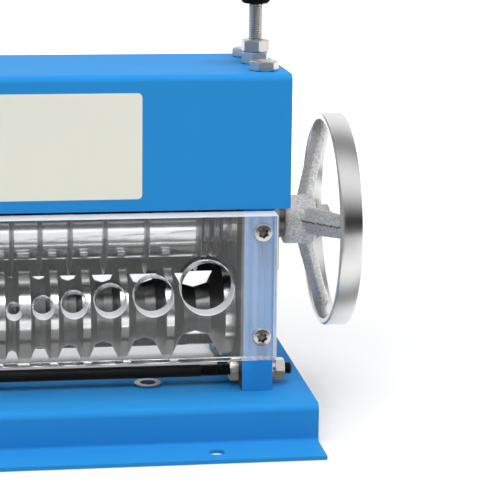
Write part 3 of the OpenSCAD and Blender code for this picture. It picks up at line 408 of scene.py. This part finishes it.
# Rounded edges by modifier: width in mm, then the nodes
rounding = {
    0.8: "left_side_plate right_side_plate motor_plate gear_head left_cap_bar right_cap_bar",
    0.5: "base_plate top_cover gear_case discharge_plate left_bearing_block right_bearing_block",
    0.35: "cover_bolts thread_nuts lock_nuts tie_rod_nuts wheel_nut deck_bolts base_washers tie_rod_washers "
          "button_bezels cable_gland gear_head_bolts clamp_nuts",
    1.2: "control_box_lid left_knob right_knob motor_end_bell",
    1.0: "control_box start_button stop_button",
}
softEdge = {"weld": 1e-6, "flat": 0.4, "angle": 35, "steps": 2, "weight": 80}


def roundEdges(obj, width):
    mesh = obj.data
    mesh.polygons.foreach_set("use_smooth", [True] * len(mesh.polygons))
    weld = obj.modifiers.new("weld", "WELD")
    weld.merge_threshold = softEdge["weld"]
    flat = obj.modifiers.new("flat faces", "DECIMATE")
    flat.decimate_type = "DISSOLVE"
    flat.angle_limit = math.radians(softEdge["flat"])
    bevel = obj.modifiers.new("round edges", "BEVEL")
    bevel.width = width * mm
    bevel.segments = softEdge["steps"]
    bevel.limit_method = "ANGLE"
    bevel.angle_limit = math.radians(softEdge["angle"])
    bevel.miter_outer = "MITER_ARC"
    shade = obj.modifiers.new("face shading", "WEIGHTED_NORMAL")
    shade.keep_sharp = False
    shade.weight = softEdge["weight"]


for width, names in rounding.items():
    for nodeName in names.split():
        roundEdges(nodes[nodeName], width)
print("edges rounded")

# Ridges of the roller are polished by the cable
roller = nodes["feed_roller"]
rollerLow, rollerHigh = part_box("feed_roller")
ridge = {"radius": (rollerHigh.z - rollerLow.z) / 2, "axis": (rollerHigh.z + rollerLow.z) / 2,
         "depth": 0.4 * mm}
paint(roller, rollerSteel, ridgeSteel)
for face in roller.data.polygons:
    corners = [roller.data.vertices[i].co for i in face.vertices]
    reach = min(math.hypot(corner.y, corner.z - ridge["axis"]) for corner in corners)
    face.material_index = 1 if reach > ridge["radius"] - ridge["depth"] else 0

# The cover is painted outside and only primed inside. The primer's dark grey is partly painted shade for the
# inside of the head.
cover = nodes["top_cover"]
coverLow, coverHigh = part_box("top_cover")
sheet = 2.2 * mm
paint(cover, bluePaint, insidePaintAndShade)
for face in cover.data.polygons:
    middle = face.center
    inFront = face.normal.y > 0.5 and middle.y < coverLow.y + sheet
    inRear = face.normal.y < -0.5 and middle.y > coverHigh.y - sheet
    inTop = face.normal.z < -0.5 and middle.z > coverHigh.z - sheet
    face.material_index = 1 if inFront or inRear or inTop else 0
for side, facing in (("left", 1), ("right", -1)):
    plate = nodes[side + "_side_plate"]
    plateLow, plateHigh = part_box(side + "_side_plate")
    inside = plateHigh.x if facing > 0 else plateLow.x
    paint(plate, bluePaint, insidePaintAndShade)
    for face in plate.data.polygons:
        face.material_index = 1 if face.normal.x * facing > 0.5 and abs(face.center.x - inside) < sheet else 0
print("cover primed inside")

# Clear guard: a sawn sheet with eased edges, its hole walls and edges frosted by the tool
feed = {"widths": (34, 25, 20, 16, 13, 9, 8, 8, 7, 7, 6),
        "ridges": (5, 5, 5, 5, 7.5, 5.5, 5.5, 5.5, 5.5, 5.5, 0), "rightEdge": 207.0, "floor": 82.5,
        "ease": 0.4, "edge": 0.7, "edgeSteps": 2, "backGap": 0.12, "screwHole": 3.2, "screwHead": 6.0,
        "past": 2.0, "wideFrom": 5.0, "wideAround": 96, "smallAround": 48, "sharp": 30, "footBand": 2.0}
guardLow, guardHigh = (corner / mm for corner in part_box("feed_guard"))
screwLow, screwHigh = (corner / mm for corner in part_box("guard_screws"))


def feedHoles():  # centre along X, centre height, radius
    right = feed["rightEdge"]
    for width, gap in zip(feed["widths"], feed["ridges"]):
        yield right - width / 2, feed["floor"] + width / 2, width / 2
        right -= width + gap


def boxObject(name, low, high, edge, steps):
    corners = [(x, y, z) for x in (low[0], high[0]) for y in (low[1], high[1]) for z in (low[2], high[2])]
    faces = [(0, 1, 3, 2), (4, 6, 7, 5), (0, 4, 5, 1), (2, 3, 7, 6), (0, 2, 6, 4), (1, 5, 7, 3)]
    obj = meshObject(name, [Vector(c) * mm for c in corners], faces)
    bm = bmesh.new()
    bm.from_mesh(obj.data)
    bmesh.ops.recalc_face_normals(bm, faces=bm.faces)
    bmesh.ops.bevel(bm, geom=bm.edges[:], offset=edge * mm, segments=steps, affect="EDGES", profile=0.5)
    bm.to_mesh(obj.data)
    bm.free()
    return obj


head = feed["screwHead"]
guardScrewPlaces = [(x, z) for x in (screwLow.x + head, screwHigh.x - head)
                    for z in (screwLow.z + head, screwHigh.z - head)]
holes = list(feedHoles()) + [(x, z, feed["screwHole"]) for x, z in guardScrewPlaces]
front, back = guardLow.y, guardHigh.y - feed["backGap"]
guard = boxObject("clearGuard", guardLow, (guardHigh.x, back, guardHigh.z), feed["edge"], feed["edgeSteps"])
chunks = []
for x, z, radius in holes:
    ease, past, deep = feed["ease"], feed["past"], back - front
    profile = [(0, -past), (radius + ease + past, -past), (radius, ease), (radius, deep - ease),
               (radius + ease + past, deep + past), (0, deep + past)]
    around = feed["wideAround"] if radius > feed["wideFrom"] else feed["smallAround"]
    chunks.append(latheData(profile, around, towards(x, front, z, (0, 1, 0))))
drills = merged("guardDrills", chunks)
bore = guard.modifiers.new("bore", "BOOLEAN")
bore.operation = "DIFFERENCE"
bore.solver = "EXACT"
bore.object = drills
applyModifiers(guard)
bpy.data.objects.remove(drills)
finishMesh(guard, feed["sharp"])
# Painted shade: walls that face down take the darker, clearer acrylic, so the upper half of each hole looks
# shaded.
paint(guard, acrylic, sawnAcrylic, shadedHoleAcrylic)
for face in guard.data.polygons:
    face.use_smooth = abs(face.normal.y) < 0.999
    bottom = face.normal.z < -0.3 and face.center.z < (guardLow.z + feed["footBand"]) * mm
    roof = face.normal.z < -0.1 and not bottom  # upper half of a hole, which takes the painted shade copy
    face.material_index = 0 if abs(face.normal.y) > 0.95 or bottom else 2 if roof else 1
stands(guard, "frame", "clear_acrylic", "feed_guard")
print("guard bored")

# Threads of the adjusting screws, the tie rods and the wheel end of the blade shaft
screwThread = {"radius": 5.0, "pitch": 1.5, "depth": 0.85, "around": 36, "rows": 7, "oiledAndShaded": 0.85}
screwFoot = {"radius": 6.5, "height": 6.0, "neck": 4.0, "neckTop": 17.0, "threadFrom": 18.0, "ease": 0.4,
             "around": 48}
rodThread = {"radius": 4.0, "pitch": 1.25, "depth": 0.7, "around": 32, "rows": 6, "length": 61, "ease": 0.8}
wheelThread = {"radius": 5.0, "pitch": 1.5, "depth": 0.85, "around": 36, "rows": 7}
threadForm = {"root": 1.25, "slope": 3.0}  # flat root, sloped flanks, flat crest


def threadData(spec, start, end, place):
    verts, faces = [], []
    around = spec["around"]
    count = max(2, int((end - start) / spec["pitch"] * spec["rows"]))
    for row in range(count + 1):
        along = start + (end - start) * row / count
        fade = min(1.0, (along - start) / spec["pitch"], (end - along) / spec["pitch"])
        for i in range(around):
            turn = i / around
            phase = (along / spec["pitch"] - turn) % 1.0
            cut = min(1.0, max(0.0, threadForm["root"] - abs(phase - 0.5) * threadForm["slope"]))
            radius = spec["radius"] - spec["depth"] * cut * max(0.0, fade)
            angle = 2 * math.pi * turn
            verts.append(place @ Vector((radius * math.cos(angle), radius * math.sin(angle), along)))
    for row in range(count):
        for i in range(around):
            j = (i + 1) % around
            base = row * around
            faces.append([base + i, base + j, base + around + j, base + around + i])
    return verts, faces


for side in ("left", "right"):
    low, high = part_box(side + "_adjusting_screw")
    x = (low.x + high.x) / 2 / mm
    bottom, top = low.z / mm, high.z / mm
    place = alongZ(x, 0, 0)
    wide, neck, ease = screwFoot["radius"], screwFoot["neck"], screwFoot["ease"]
    footTop, start = bottom + screwFoot["height"], bottom + screwFoot["threadFrom"]
    plain = latheData([(0, bottom), (wide - ease, bottom), (wide, bottom + ease), (wide, footTop - ease),
                       (wide - ease, footTop), (neck, footTop), (neck, bottom + screwFoot["neckTop"]),
                       (screwThread["radius"], start)], screwFoot["around"], place)
    thread = threadData(screwThread, start, top, place)
    cap = latheData([(screwThread["radius"], top), (0, top)], screwThread["around"], place)
    screw = merged(side + "ThreadedScrew", [plain, thread, cap])
    paint(screw, zinc, darkSteel)
    root = screwThread["radius"] - screwThread["oiledAndShaded"] * screwThread["depth"]
    for face in screw.data.polygons:  # painted shade: faces deep in the thread take the dark steel
        spot = face.center / mm
        inThread = spot.z > start and abs(face.normal.z) < 0.95
        face.material_index = 1 if inThread and math.hypot(spot.x - x, spot.y) < root else 0
    stands(screw, side + "_screw", "zinc_steel", side + "_adjusting_screw")

for position, nodeName in (("front", "front_tie_rod"), ("rear", "rear_tie_rod")):
    low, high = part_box(nodeName)
    y, z = (low.y + high.y) / 2 / mm, (low.z + high.z) / 2 / mm
    fromX, toX = low.x / mm, high.x / mm
    axis = alongX(0, y, z)
    span, around = rodThread["length"], rodThread["around"]
    radius, ease = rodThread["radius"], rodThread["ease"]
    chunks = [latheData([(0, fromX), (radius - ease, fromX), (radius, fromX + ease)], around, axis),
              threadData(rodThread, fromX + ease, fromX + span, axis),
              latheData([(radius, fromX + span), (radius, toX - span)], around, axis),
              threadData(rodThread, toX - span, toX - ease, axis),
              latheData([(radius, toX - ease), (radius - ease, toX), (0, toX)], around, axis)]
    rod = merged(position + "ThreadedRod", chunks)
    paint(rod, blackOxide)
    stands(rod, "frame", "black_oxide", nodeName)

# Blade shaft: turned steps, then the thread that takes the wheel nut
spindle = {"gearEnd": 11.0, "gearStop": -48.0, "journal": 12.5, "collar": 22.5, "collarStart": -10.0,
           "collarStop": -6.0, "stack": 15.0, "stackStop": 207.1, "hub": 11.0, "hubStart": 250.0,
           "hubStop": 272.0, "endEase": 0.8, "shoulder": 0.5, "collarEase": 0.4, "stackEase": 0.6,
           "tipEase": 1.1, "tipLength": 1.2, "around": 96}
shaftLow, shaftHigh = (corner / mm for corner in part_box("blade_shaft"))
shaftLine = alongX(0, 0, (shaftLow.z + shaftHigh.z) / 2)
stackRight, hubStop = spindle["stackStop"], spindle["hubStop"]
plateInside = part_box("right_side_plate")[0].x / mm
gearEnd, gearStop, endEase = spindle["gearEnd"], spindle["gearStop"], spindle["endEase"]
journal, collar, collarEase = spindle["journal"], spindle["collar"], spindle["collarEase"]
collarStart, collarStop = spindle["collarStart"], spindle["collarStop"]
stack, stackEase = spindle["stack"], spindle["stackEase"]
hub, hubStart = spindle["hub"], spindle["hubStart"]
threadRadius, threadStop = wheelThread["radius"], shaftHigh.x - spindle["tipLength"]
shaftProfile = [
    (0, shaftLow.x), (gearEnd - endEase, shaftLow.x), (gearEnd, shaftLow.x + endEase), (gearEnd, gearStop),
    (journal, gearStop + spindle["shoulder"]), (journal, collarStart), (collar - collarEase, collarStart),
    (collar, collarStart + collarEase), (collar, collarStop - collarEase), (collar - collarEase, collarStop),
    (stack, collarStop), (stack, stackRight - stackEase), (stack - stackEase, stackRight),
    (journal, stackRight), (journal, plateInside), (journal, hubStart), (hub, hubStart), (hub, hubStop),
    (threadRadius, hubStop)]
tip = [(threadRadius, threadStop), (threadRadius - spindle["tipEase"], shaftHigh.x), (0, shaftHigh.x)]
chunks = [latheData(shaftProfile, spindle["around"], shaftLine),
          threadData(wheelThread, hubStop, threadStop, shaftLine),
          latheData(tip, wheelThread["around"], shaftLine)]
shaft = merged("turnedBladeShaft", chunks)
paint(shaft, darkSteel, brightSteel)
for face in shaft.data.polygons:  # the journal beside the stack is ground bright
    face.material_index = 1 if stackRight < face.center.x / mm < plateInside else 0
stands(shaft, "blade_set", "machined_steel", "blade_shaft")
print("threads cut")

# Guard, case and lid screws: low pan heads with a lobed socket
panHead = {"radius": 6.0, "height": 3.5, "socket": 2.8, "depth": 2.3, "lobes": 6, "lobe": 0.16,
           "shank": 3.0, "length": 27.0}
caseHead = {"radius": 4.5, "height": 3.0, "socket": 1.5, "depth": 1.6, "lobes": 4, "lobe": 0.6,
            "shank": 2.5, "length": 11.8}
lidHead = {"radius": 3.0, "height": 1.8, "socket": 1.0, "depth": 1.1, "lobes": 4, "lobe": 0.6,
           "shank": 1.5, "length": 12.8}
crown = {"flat": 0.72, "edgeFrom": 0.9, "edgeDrop": 0.25, "wall": 0.06, "rings": 26, "around": 72,
         "shankAround": 32, "turn": 0.9, "sharp": 50, "shadeTop": 0.9, "shadeDepth": 0.3}


def panHeadData(spec, place):
    verts, faces = [], []
    rings, around, flat, edgeFrom = crown["rings"], crown["around"], crown["flat"], crown["edgeFrom"]
    for ring in range(rings + 1):
        share = ring / rings
        radius = spec["radius"] * share
        for i in range(around):
            angle = 2 * math.pi * i / around
            dome = spec["height"] * (flat + (1 - flat) * math.cos(share * math.pi * 0.5))
            if share > edgeFrom:
                dome -= spec["height"] * crown["edgeDrop"] * ((share - edgeFrom) / (1 - edgeFrom)) ** 2
            edge = spec["socket"] * (1 + spec["lobe"] * math.cos(spec["lobes"] * angle))
            inside = min(1.0, max(0.0, (edge - radius) / (crown["wall"] * spec["radius"]) + 0.5))
            height = dome - spec["depth"] * inside
            verts.append(place @ Vector((radius * math.cos(angle), radius * math.sin(angle), height)))
    base = len(verts)
    for i in range(around):
        angle = 2 * math.pi * i / around
        verts.append(place @ Vector((spec["radius"] * math.cos(angle), spec["radius"] * math.sin(angle), 0)))
    for ring in range(rings):
        for i in range(around):
            j = (i + 1) % around
            a, b = ring * around, (ring + 1) * around
            faces.append([a + i, b + i, b + j, a + j])
    last = rings * around
    for i in range(around):
        j = (i + 1) % around
        faces.append([last + i, base + i, base + j, last + j])
    return verts, faces


def screwSet(name, spec, places, slotName, node):
    chunks = []
    for index, (spot, direction) in enumerate(places):
        place = towards(*spot, direction)
        chunks.append(panHeadData(spec, place @ Matrix.Rotation(index * crown["turn"], 4, "Z")))
        shank = [(spec["shank"], 0), (spec["shank"], -spec["length"]), (0, -spec["length"])]
        chunks.append(latheData(shank, crown["shankAround"], place))
    made = merged(name, chunks, crown["sharp"])
    paint(made, zinc, darkSteel)
    wide = spec["socket"] * (1 + spec["lobe"]) * mm
    floorLine = (spec["height"] * crown["shadeTop"] - spec["depth"] * crown["shadeDepth"]) * mm
    for face in made.data.polygons:  # painted shade: the socket's lower faces take dark steel
        for spot, direction in places:
            away = face.center - Vector(spot) * mm
            along = away.dot(Vector(direction))
            if 0 < along < floorLine and (away - along * Vector(direction)).length < wide:
                face.material_index = 1
    stands(made, "frame", slotName, node)


screwSet("guardPanScrews", panHead, [((x, front, z), (0, -1, 0)) for x, z in guardScrewPlaces],
         "zinc_steel", "guard_screws")
low, high = (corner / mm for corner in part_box("gear_case_screws"))
tall, wide = caseHead["height"], caseHead["radius"]
screwSet("gearCaseScrews", caseHead,
         [(((low.x + high.x) / 2, y, z), (0, turn, 0)) for y, turn in ((low.y + tall, -1), (high.y - tall, 1))
          for z in (low.z + wide, high.z - wide)], "zinc_steel", "gear_case_screws")
low, high = (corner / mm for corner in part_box("lid_screws"))
tall, wide = lidHead["height"], lidHead["radius"]
screwSet("lidPanScrews", lidHead,
         [((x, y, high.z - tall), (0, 0, 1)) for x in (low.x + wide, high.x - wide)
          for y in (low.y + wide, high.y - wide)], "zinc_steel", "lid_screws")
print("screws made")

# Handwheel: hub and spokes grown together as one casting, then the polished rim
wheel = {"rimOuter": 72.0, "rimInner": 67.5, "rimSetback": 26.0, "rimAround": 160, "hubRadius": 16.5,
         "hubLength": 22.0, "hubRound": 2.4, "hubSteps": 6, "hubChamfer": (1.5, 2.0), "hubSink": 0.3,
         "hubAround": 72, "spokes": 3, "lift": 6.0, "voxel": 0.001, "calm": 0.5, "calmTurns": 2, "ridgeBand": 0.45,
         "ridgeGroove": 0.2, "ridgeFacing": -0.3, "skin": ((900, 0.11), (350, 0.12))}
# Width and depth of a spoke: at the hub, change along it, and flare at the rim
spoke = {"from": 9.0, "into": 1.2, "steps": 12, "wide": (20.0, -4.5, 5.0), "deep": (12.0, -2.0, 2.0),
         "flareFrom": 0.85, "hubInset": 7.0, "rimInset": 7.2, "sweep": 1.1,
         "section": [(-0.5, 0.0), (-0.12, 0.42), (0.05, 0.5), (0.42, 0.4), (0.5, 0.3), (0.5, -0.3),
                     (0.42, -0.4), (0.05, -0.5), (-0.12, -0.42)]}
rimEdge = {"outer": 1.0, "outerChip": 0.3, "inner": 0.8, "innerChip": 0.2, "crown": 0.6}
wheelLow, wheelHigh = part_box("handwheel")
hubFace = wheelLow.x / mm
rimStart = hubFace + wheel["rimSetback"]
rimEnd = wheelHigh.x / mm
hubEnd = hubFace + wheel["hubLength"]
axle = shaftLine


def spokeData(direction):  # ridged section, wide and thick at the hub, flared into the rim
    stations, verts, faces = [], [], []
    stop = wheel["rimInner"] + spoke["into"]
    first, last = hubEnd - spoke["hubInset"], rimStart + spoke["rimInset"]
    for step in range(spoke["steps"] + 1):
        share = step / spoke["steps"]
        radius = spoke["from"] + (stop - spoke["from"]) * share
        flare = max(0.0, (share - spoke["flareFrom"]) / (1 - spoke["flareFrom"])) ** 2
        wide, deep = (begin + change * share + extra * flare
                      for begin, change, extra in (spoke["wide"], spoke["deep"]))
        middle = first + (last - first) * share ** spoke["sweep"]
        stations.append((radius, middle, wide, deep))
    spin = Matrix.Rotation(direction, 4, "X")
    centre = Vector((0, 0, axle.translation.z))
    for radius, middle, wide, deep in stations:
        for away, across in spoke["section"]:
            local = Vector(((middle + away * deep) * mm, across * wide * mm, radius * mm))
            verts.append(centre + spin @ local)
    size = len(spoke["section"])
    for row in range(len(stations) - 1):
        for i in range(size):
            j = (i + 1) % size
            faces.append([row * size + i, row * size + j, (row + 1) * size + j, (row + 1) * size + i])
    faces.append(list(range(size)))
    faces.append([(len(stations) - 1) * size + i for i in range(size)])
    return verts, faces


hubRound, hubWide = wheel["hubRound"], wheel["hubRadius"]
hubProfile = [(0, hubFace)]
for step in range(wheel["hubSteps"] + 1):
    turn = math.pi / 2 * step / wheel["hubSteps"]
    hubProfile.append((hubWide - hubRound + hubRound * math.sin(turn),
                       hubFace + hubRound - hubRound * math.cos(turn)))
chamferIn, chamferBack = wheel["hubChamfer"]
sunk = hubEnd - wheel["hubSink"]
hubProfile += [(hubWide, hubEnd - chamferBack), (hubWide - chamferIn, sunk), (0, sunk)]
chunks = [latheData(hubProfile, wheel["hubAround"], axle)]
spokeStep = 360 / wheel["spokes"]
spokeTurns = [math.radians(90 - wheel["lift"] + spokeStep * index) for index in range(wheel["spokes"])]
spins = [Matrix.Rotation(turn, 3, "X") for turn in spokeTurns]
spokeLines = [(spin.col[2], spin.col[1]) for spin in spins]
chunks += [spokeData(turn) for turn in spokeTurns]
casting = merged("wheelCasting", chunks)
grown = casting.modifiers.new("grow together", "REMESH")
grown.mode = "VOXEL"
grown.voxel_size = wheel["voxel"]
calm = casting.modifiers.new("calm", "SMOOTH")
calm.factor = wheel["calm"]
calm.iterations = wheel["calmTurns"]
applyModifiers(casting)


def onSpokeRidge(point, normal):  # along the ridge of a spoke, on its side facing the machine
    if normal.x > wheel["ridgeFacing"]:
        return False
    out = point - axle.translation
    return any(out.dot(along) > wheel["hubRadius"] * mm and abs(out.dot(across)) < wheel["ridgeBand"] * mm
               for along, across in spokeLines)


for vertex in casting.data.vertices:  # sand cast skin
    rough = sum(noise.noise(vertex.co * scale) * height for scale, height in wheel["skin"])
    groove = wheel["ridgeGroove"] if onSpokeRidge(vertex.co, vertex.normal) else 0
    vertex.co += vertex.normal * (rough - groove) * mm
casting.data.polygons.foreach_set("use_smooth", [True] * len(casting.data.polygons))
# Painted shade: a dark line along each spoke's ridge, on the side facing the machine, stands in for the
# shaded crease.
paint(casting, castAlloy, ridgeShadeAlloy)
for face in casting.data.polygons:
    face.material_index = 1 if onSpokeRidge(face.center, face.normal) else 0
stands(casting, "blade_set", "cast_aluminium", "handwheel")

inner, outer = wheel["rimInner"], wheel["rimOuter"]
corner, chip, lip, lipChip = (rimEdge[key] for key in ("outer", "outerChip", "inner", "innerChip"))
rimProfile = [(inner + lip, rimStart), (outer - corner, rimStart), (outer - chip, rimStart + chip),
              (outer, rimStart + corner), (outer, rimEnd - corner), (outer - chip, rimEnd - chip),
              (outer - corner, rimEnd), (inner + lip, rimEnd), (inner + lipChip, rimEnd - lipChip),
              (inner, rimEnd - lip), (inner - rimEdge["crown"], (rimStart + rimEnd) / 2),
              (inner, rimStart + lip), (inner + lipChip, rimStart + lipChip), (inner + lip, rimStart)]
rim = merged("wheelRim", [latheData(rimProfile, wheel["rimAround"], axle)])
paint(rim, rimAlloy)
stands(rim, "blade_set", "cast_aluminium")
print("handwheel cast")

# Blank sticker on the front of the cover
sticker = {"left": 55.0, "right": 149.0, "bottom": 156.4, "top": 224.4, "round": 3.0, "steps": 6,
           "thick": 0.15}
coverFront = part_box("top_cover")[0].y / mm
outline = []
corners = (("right", "top"), ("left", "top"), ("left", "bottom"), ("right", "bottom"))
for index, (endX, endZ) in enumerate(corners):
    inX = sticker["round"] if endX == "left" else -sticker["round"]
    inZ = sticker["round"] if endZ == "bottom" else -sticker["round"]
    for step in range(sticker["steps"] + 1):
        turn = math.radians(90 * index + 90 / sticker["steps"] * step)
        outline.append((sticker[endX] + inX + sticker["round"] * math.cos(turn),
                        sticker[endZ] + inZ + sticker["round"] * math.sin(turn)))
count = len(outline)
frontRing = [Vector((x * mm, (coverFront - sticker["thick"]) * mm, z * mm)) for x, z in outline]
backRing = [Vector((x * mm, coverFront * mm, z * mm)) for x, z in outline]
faces = [list(range(count)), [count + i for i in range(count)][::-1]]
faces += [[i, (i + 1) % count, count + (i + 1) % count, count + i] for i in range(count)]
label = finishMesh(meshObject("blankSticker", frontRing + backRing, faces, False))
paint(label, stickerVinyl)
stands(label, "frame", "blue_paint")
print("sticker placed")

# Floor, dark cards for the reflections, lamps, world and camera
studio = {"floor": 8.0, "near": 0.4, "far": 1.1, "lift": 0.2, "under": 0.0002, "grey": 0.64,
          "rough": 0.9, "sky": 0.5}
# Lamps: place, target, size in m, and power
lamps = {
    "keyLamp": ((-0.2, -1.25, 1.8), (0.1, 0, 0.1), (1.4, 0.9), 16.5),
    "fillLamp": ((1.6, -0.5, 1.1), (0.2, 0, 0.08), (0.9, 1.0), 8.0),
    "topLamp": ((0.5, -0.35, 3.4), (0.1, 0, 0.1), (2.4, 1.4), 61.0),
}


def backgroundRays(tree):  # rays that should find the plain white background
    path = addNode(tree, "ShaderNodeLightPath")
    seen = math2(tree, "MAXIMUM", path.outputs["Is Camera Ray"], path.outputs["Is Glossy Ray"])
    return math2(tree, "MAXIMUM", seen, path.outputs["Is Transmission Ray"])


edge, grey = studio["floor"], studio["grey"]
floor = meshObject("paleFloor", [(-edge, -edge, 0), (edge, -edge, 0), (edge, edge, 0), (-edge, edge, 0)],
                   [[0, 1, 2, 3]], False)
floor.location.z = -studio["under"]
floorPaint = bpy.data.materials.new("white floor")
floorPaint.use_nodes = True
tree = floorPaint.node_tree
shader = tree.nodes["Principled BSDF"]
shader.inputs["Base Color"].default_value = (grey, grey, grey, 1)
shader.inputs["Roughness"].default_value = studio["rough"]
shader.inputs["Specular IOR Level"].default_value = 0.0
shader.inputs["Emission Color"].default_value = (1, 1, 1, 1)
coords = addNode(tree, "ShaderNodeTexCoord")
distance = addNode(tree, "ShaderNodeVectorMath", operation="LENGTH")
tree.links.new(coords.outputs["Object"], distance.inputs[0])
fade = rangeNode(tree, distance.outputs["Value"], studio["near"], studio["far"], studio["lift"], 1.0,
                 interpolation_type="SMOOTHSTEP")
tree.links.new(math2(tree, "MULTIPLY", fade, backgroundRays(tree)), shader.inputs["Emission Strength"])
paint(floor, floorPaint)

# Cards, as a photographer hangs them, so that bright metal has something to mirror.
# Each one is a strip: half its length, its tone, and rows of a middle point with the shade there.
# Angles are seen from the wheel: 0 is level towards the front, 90 is straight up, below 0 is the floor.
tent = {"radius": 1.7, "middle": (0.2, -0.05, 0.13), "front": (7.5, 27.0, 1.0), "above": (98.0, 26.0, 0.69),
        "below": (-80.0, 20.0, 0.68), "wheel": (0.072, 0.129), "tilt": 12.5, "offFloor": 0.001}


def bandShade(name, angle):  # how dark one soft band of the tent is at an angle
    centre, spread, depth = tent[name]
    return depth * math.exp(-((angle - centre) / spread) ** 2)


def tentRow(angle):
    x, y, z = tent["middle"]
    turn = math.radians(angle)
    return (x, y - tent["radius"] * math.cos(turn), z + tent["radius"] * math.sin(turn))


def floorRow(x, angle):  # where the rim sees the floor at an angle below level
    radius, height = tent["wheel"]
    lean = math.radians((angle + tent["tilt"]) / 2)
    fall = height + radius * math.sin(lean)
    return (x, -radius * math.cos(lean) - fall / math.tan(math.radians(-angle)), tent["offFloor"])


def tentShade(angle):  # the two bands of the tent together
    return 1 - (1 - bandShade("front", angle)) * (1 - bandShade("above", angle))


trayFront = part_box("discharge_plate")[0].y
tentAngles = range(150, -7, -6)
slopes = (-3, -4, -6, -8, -11, -14, -18, -23, -28, -34, -40)  # the floor in front, from far to near
rimAngles = range(-40, -126, -5)
wheelFloor = 0.48
deckCover = {"x": 0.05, "z": 0.0285, "front": -0.135, "full": -0.12}
gapCover = {"x": 0.2475, "y": -0.1, "low": 0.03, "high": 0.24}
cards = {
    "tentCard": {"half": (2.8, 0, 0), "tone": 0.02, "rows": [(tentRow(a), tentShade(a)) for a in tentAngles]},
    "floorCard": {"half": (2.8, 0, 0), "tone": 0.02,
                  "rows": [(floorRow(tent["middle"][0], a), bandShade("front", a)) for a in slopes]},
    "wheelCard": {"half": (0.23, 0, 0), "tone": 0.02,
                  "rows": [(floorRow(wheelFloor, a), bandShade("below", a)) for a in rimAngles]},
    "deckCard": {"half": (0.2, 0, 0), "tone": 0.18,
                 "rows": [((deckCover["x"], y, deckCover["z"]), dark) for y, dark in
                          ((deckCover["front"], 0), (deckCover["full"], 1), (trayFront, 1))]},
    "gapCard": {"half": (0, 0.2, 0), "tone": 0.36,
                "rows": [((gapCover["x"], gapCover["y"], gapCover[end]), 1) for end in ("low", "high")]},
}
cardPaint = bpy.data.materials.new("studio card")
cardPaint.use_nodes = True
tree = cardPaint.node_tree
tree.nodes.remove(tree.nodes["Principled BSDF"])
glow = addNode(tree, "ShaderNodeEmission")
tone = addNode(tree, "ShaderNodeAttribute", attribute_name="tone")
shade = addNode(tree, "ShaderNodeAttribute", attribute_name="shade")
geometry = addNode(tree, "ShaderNodeNewGeometry")
clear = addNode(tree, "ShaderNodeBsdfTransparent")
mix = addNode(tree, "ShaderNodeMixShader")
tree.links.new(tone.outputs["Fac"], glow.inputs["Strength"])
seen = math2(tree, "SUBTRACT", 1.0, geometry.outputs["Backfacing"])
tree.links.new(math2(tree, "MULTIPLY", seen, shade.outputs["Fac"]), mix.inputs[0])
tree.links.new(clear.outputs[0], mix.inputs[1])
tree.links.new(glow.outputs[0], mix.inputs[2])
tree.links.new(mix.outputs[0], tree.nodes["Material Output"].inputs["Surface"])
for name, spec in cards.items():
    half, rows = Vector(spec["half"]), spec["rows"]
    verts = [Vector(point) + away for point, _ in rows for away in (-half, half)]
    quads = [[2 * i, 2 * i + 1, 2 * i + 3, 2 * i + 2] for i in range(len(rows) - 1)]
    card = meshObject(name, verts, quads, False)
    for layer, values in (("shade", [value for _, value in rows for _ in (0, 1)]),
                          ("tone", [spec["tone"]] * (2 * len(rows)))):
        card.data.attributes.new(layer, "FLOAT", "POINT").data.foreach_set("value", values)
    paint(card, cardPaint)
    card.visible_camera = False
    card.visible_diffuse = False
    card.visible_shadow = False
    card.visible_transmission = name in ("tentCard", "deckCard")

world = bpy.data.worlds.new("studio")
scene.world = world
world.use_nodes = True
tree = world.node_tree
backdrop = tree.nodes["Background"]
backdrop.inputs["Color"].default_value = (1, 1, 1, 1)
soft = addNode(tree, "ShaderNodeBackground")
soft.inputs["Color"].default_value = (1, 1, 1, 1)
soft.inputs["Strength"].default_value = studio["sky"]
mix = addNode(tree, "ShaderNodeMixShader")
tree.links.new(backgroundRays(tree), mix.inputs[0])
tree.links.new(soft.outputs[0], mix.inputs[1])
tree.links.new(backdrop.outputs[0], mix.inputs[2])
tree.links.new(mix.outputs[0], tree.nodes["World Output"].inputs["Surface"])


def areaLamp(name, location, target, size, power):
    data = bpy.data.lights.new(name, "AREA")
    data.shape = "RECTANGLE"
    data.size, data.size_y = size
    data.energy = power
    lamp = bpy.data.objects.new(name, data)
    scene.collection.objects.link(lamp)
    lamp.location = location
    lamp.rotation_euler = (Vector(target) - Vector(location)).to_track_quat("-Z", "Y").to_euler()
    lamp.visible_glossy = False  # bright metal mirrors the white surroundings and the cards


for name, spec in lamps.items():
    areaLamp(name, *spec)

view = {"place": (0.034747, -1.223342, 0.387179), "yaw": 7.8656, "pitch": 9.6529, "roll": 0.5156,
        "lens": 134.775, "sensor": 36, "shift": (0.07, -0.2)}
yaw, pitch, roll = (math.radians(view[key]) for key in ("yaw", "pitch", "roll"))
forward = Vector((math.sin(yaw) * math.cos(pitch), math.cos(yaw) * math.cos(pitch), -math.sin(pitch)))
right = Vector((math.cos(yaw), -math.sin(yaw), 0))
up = right.cross(forward)
right, up = right * math.cos(roll) + up * math.sin(roll), up * math.cos(roll) - right * math.sin(roll)
cameraData = bpy.data.cameras.new("camera")
cameraData.lens = view["lens"]
cameraData.sensor_width = view["sensor"]
cameraData.shift_x, cameraData.shift_y = view["shift"]
camera = bpy.data.objects.new("camera", cameraData)
scene.collection.objects.link(camera)
camera.matrix_world = Matrix(((right.x, up.x, -forward.x, view["place"][0]),
                              (right.y, up.y, -forward.y, view["place"][1]),
                              (right.z, up.z, -forward.z, view["place"][2]), (0, 0, 0, 1)))
scene.camera = camera
scene.view_settings.view_transform = "Standard"
print("stage lit")
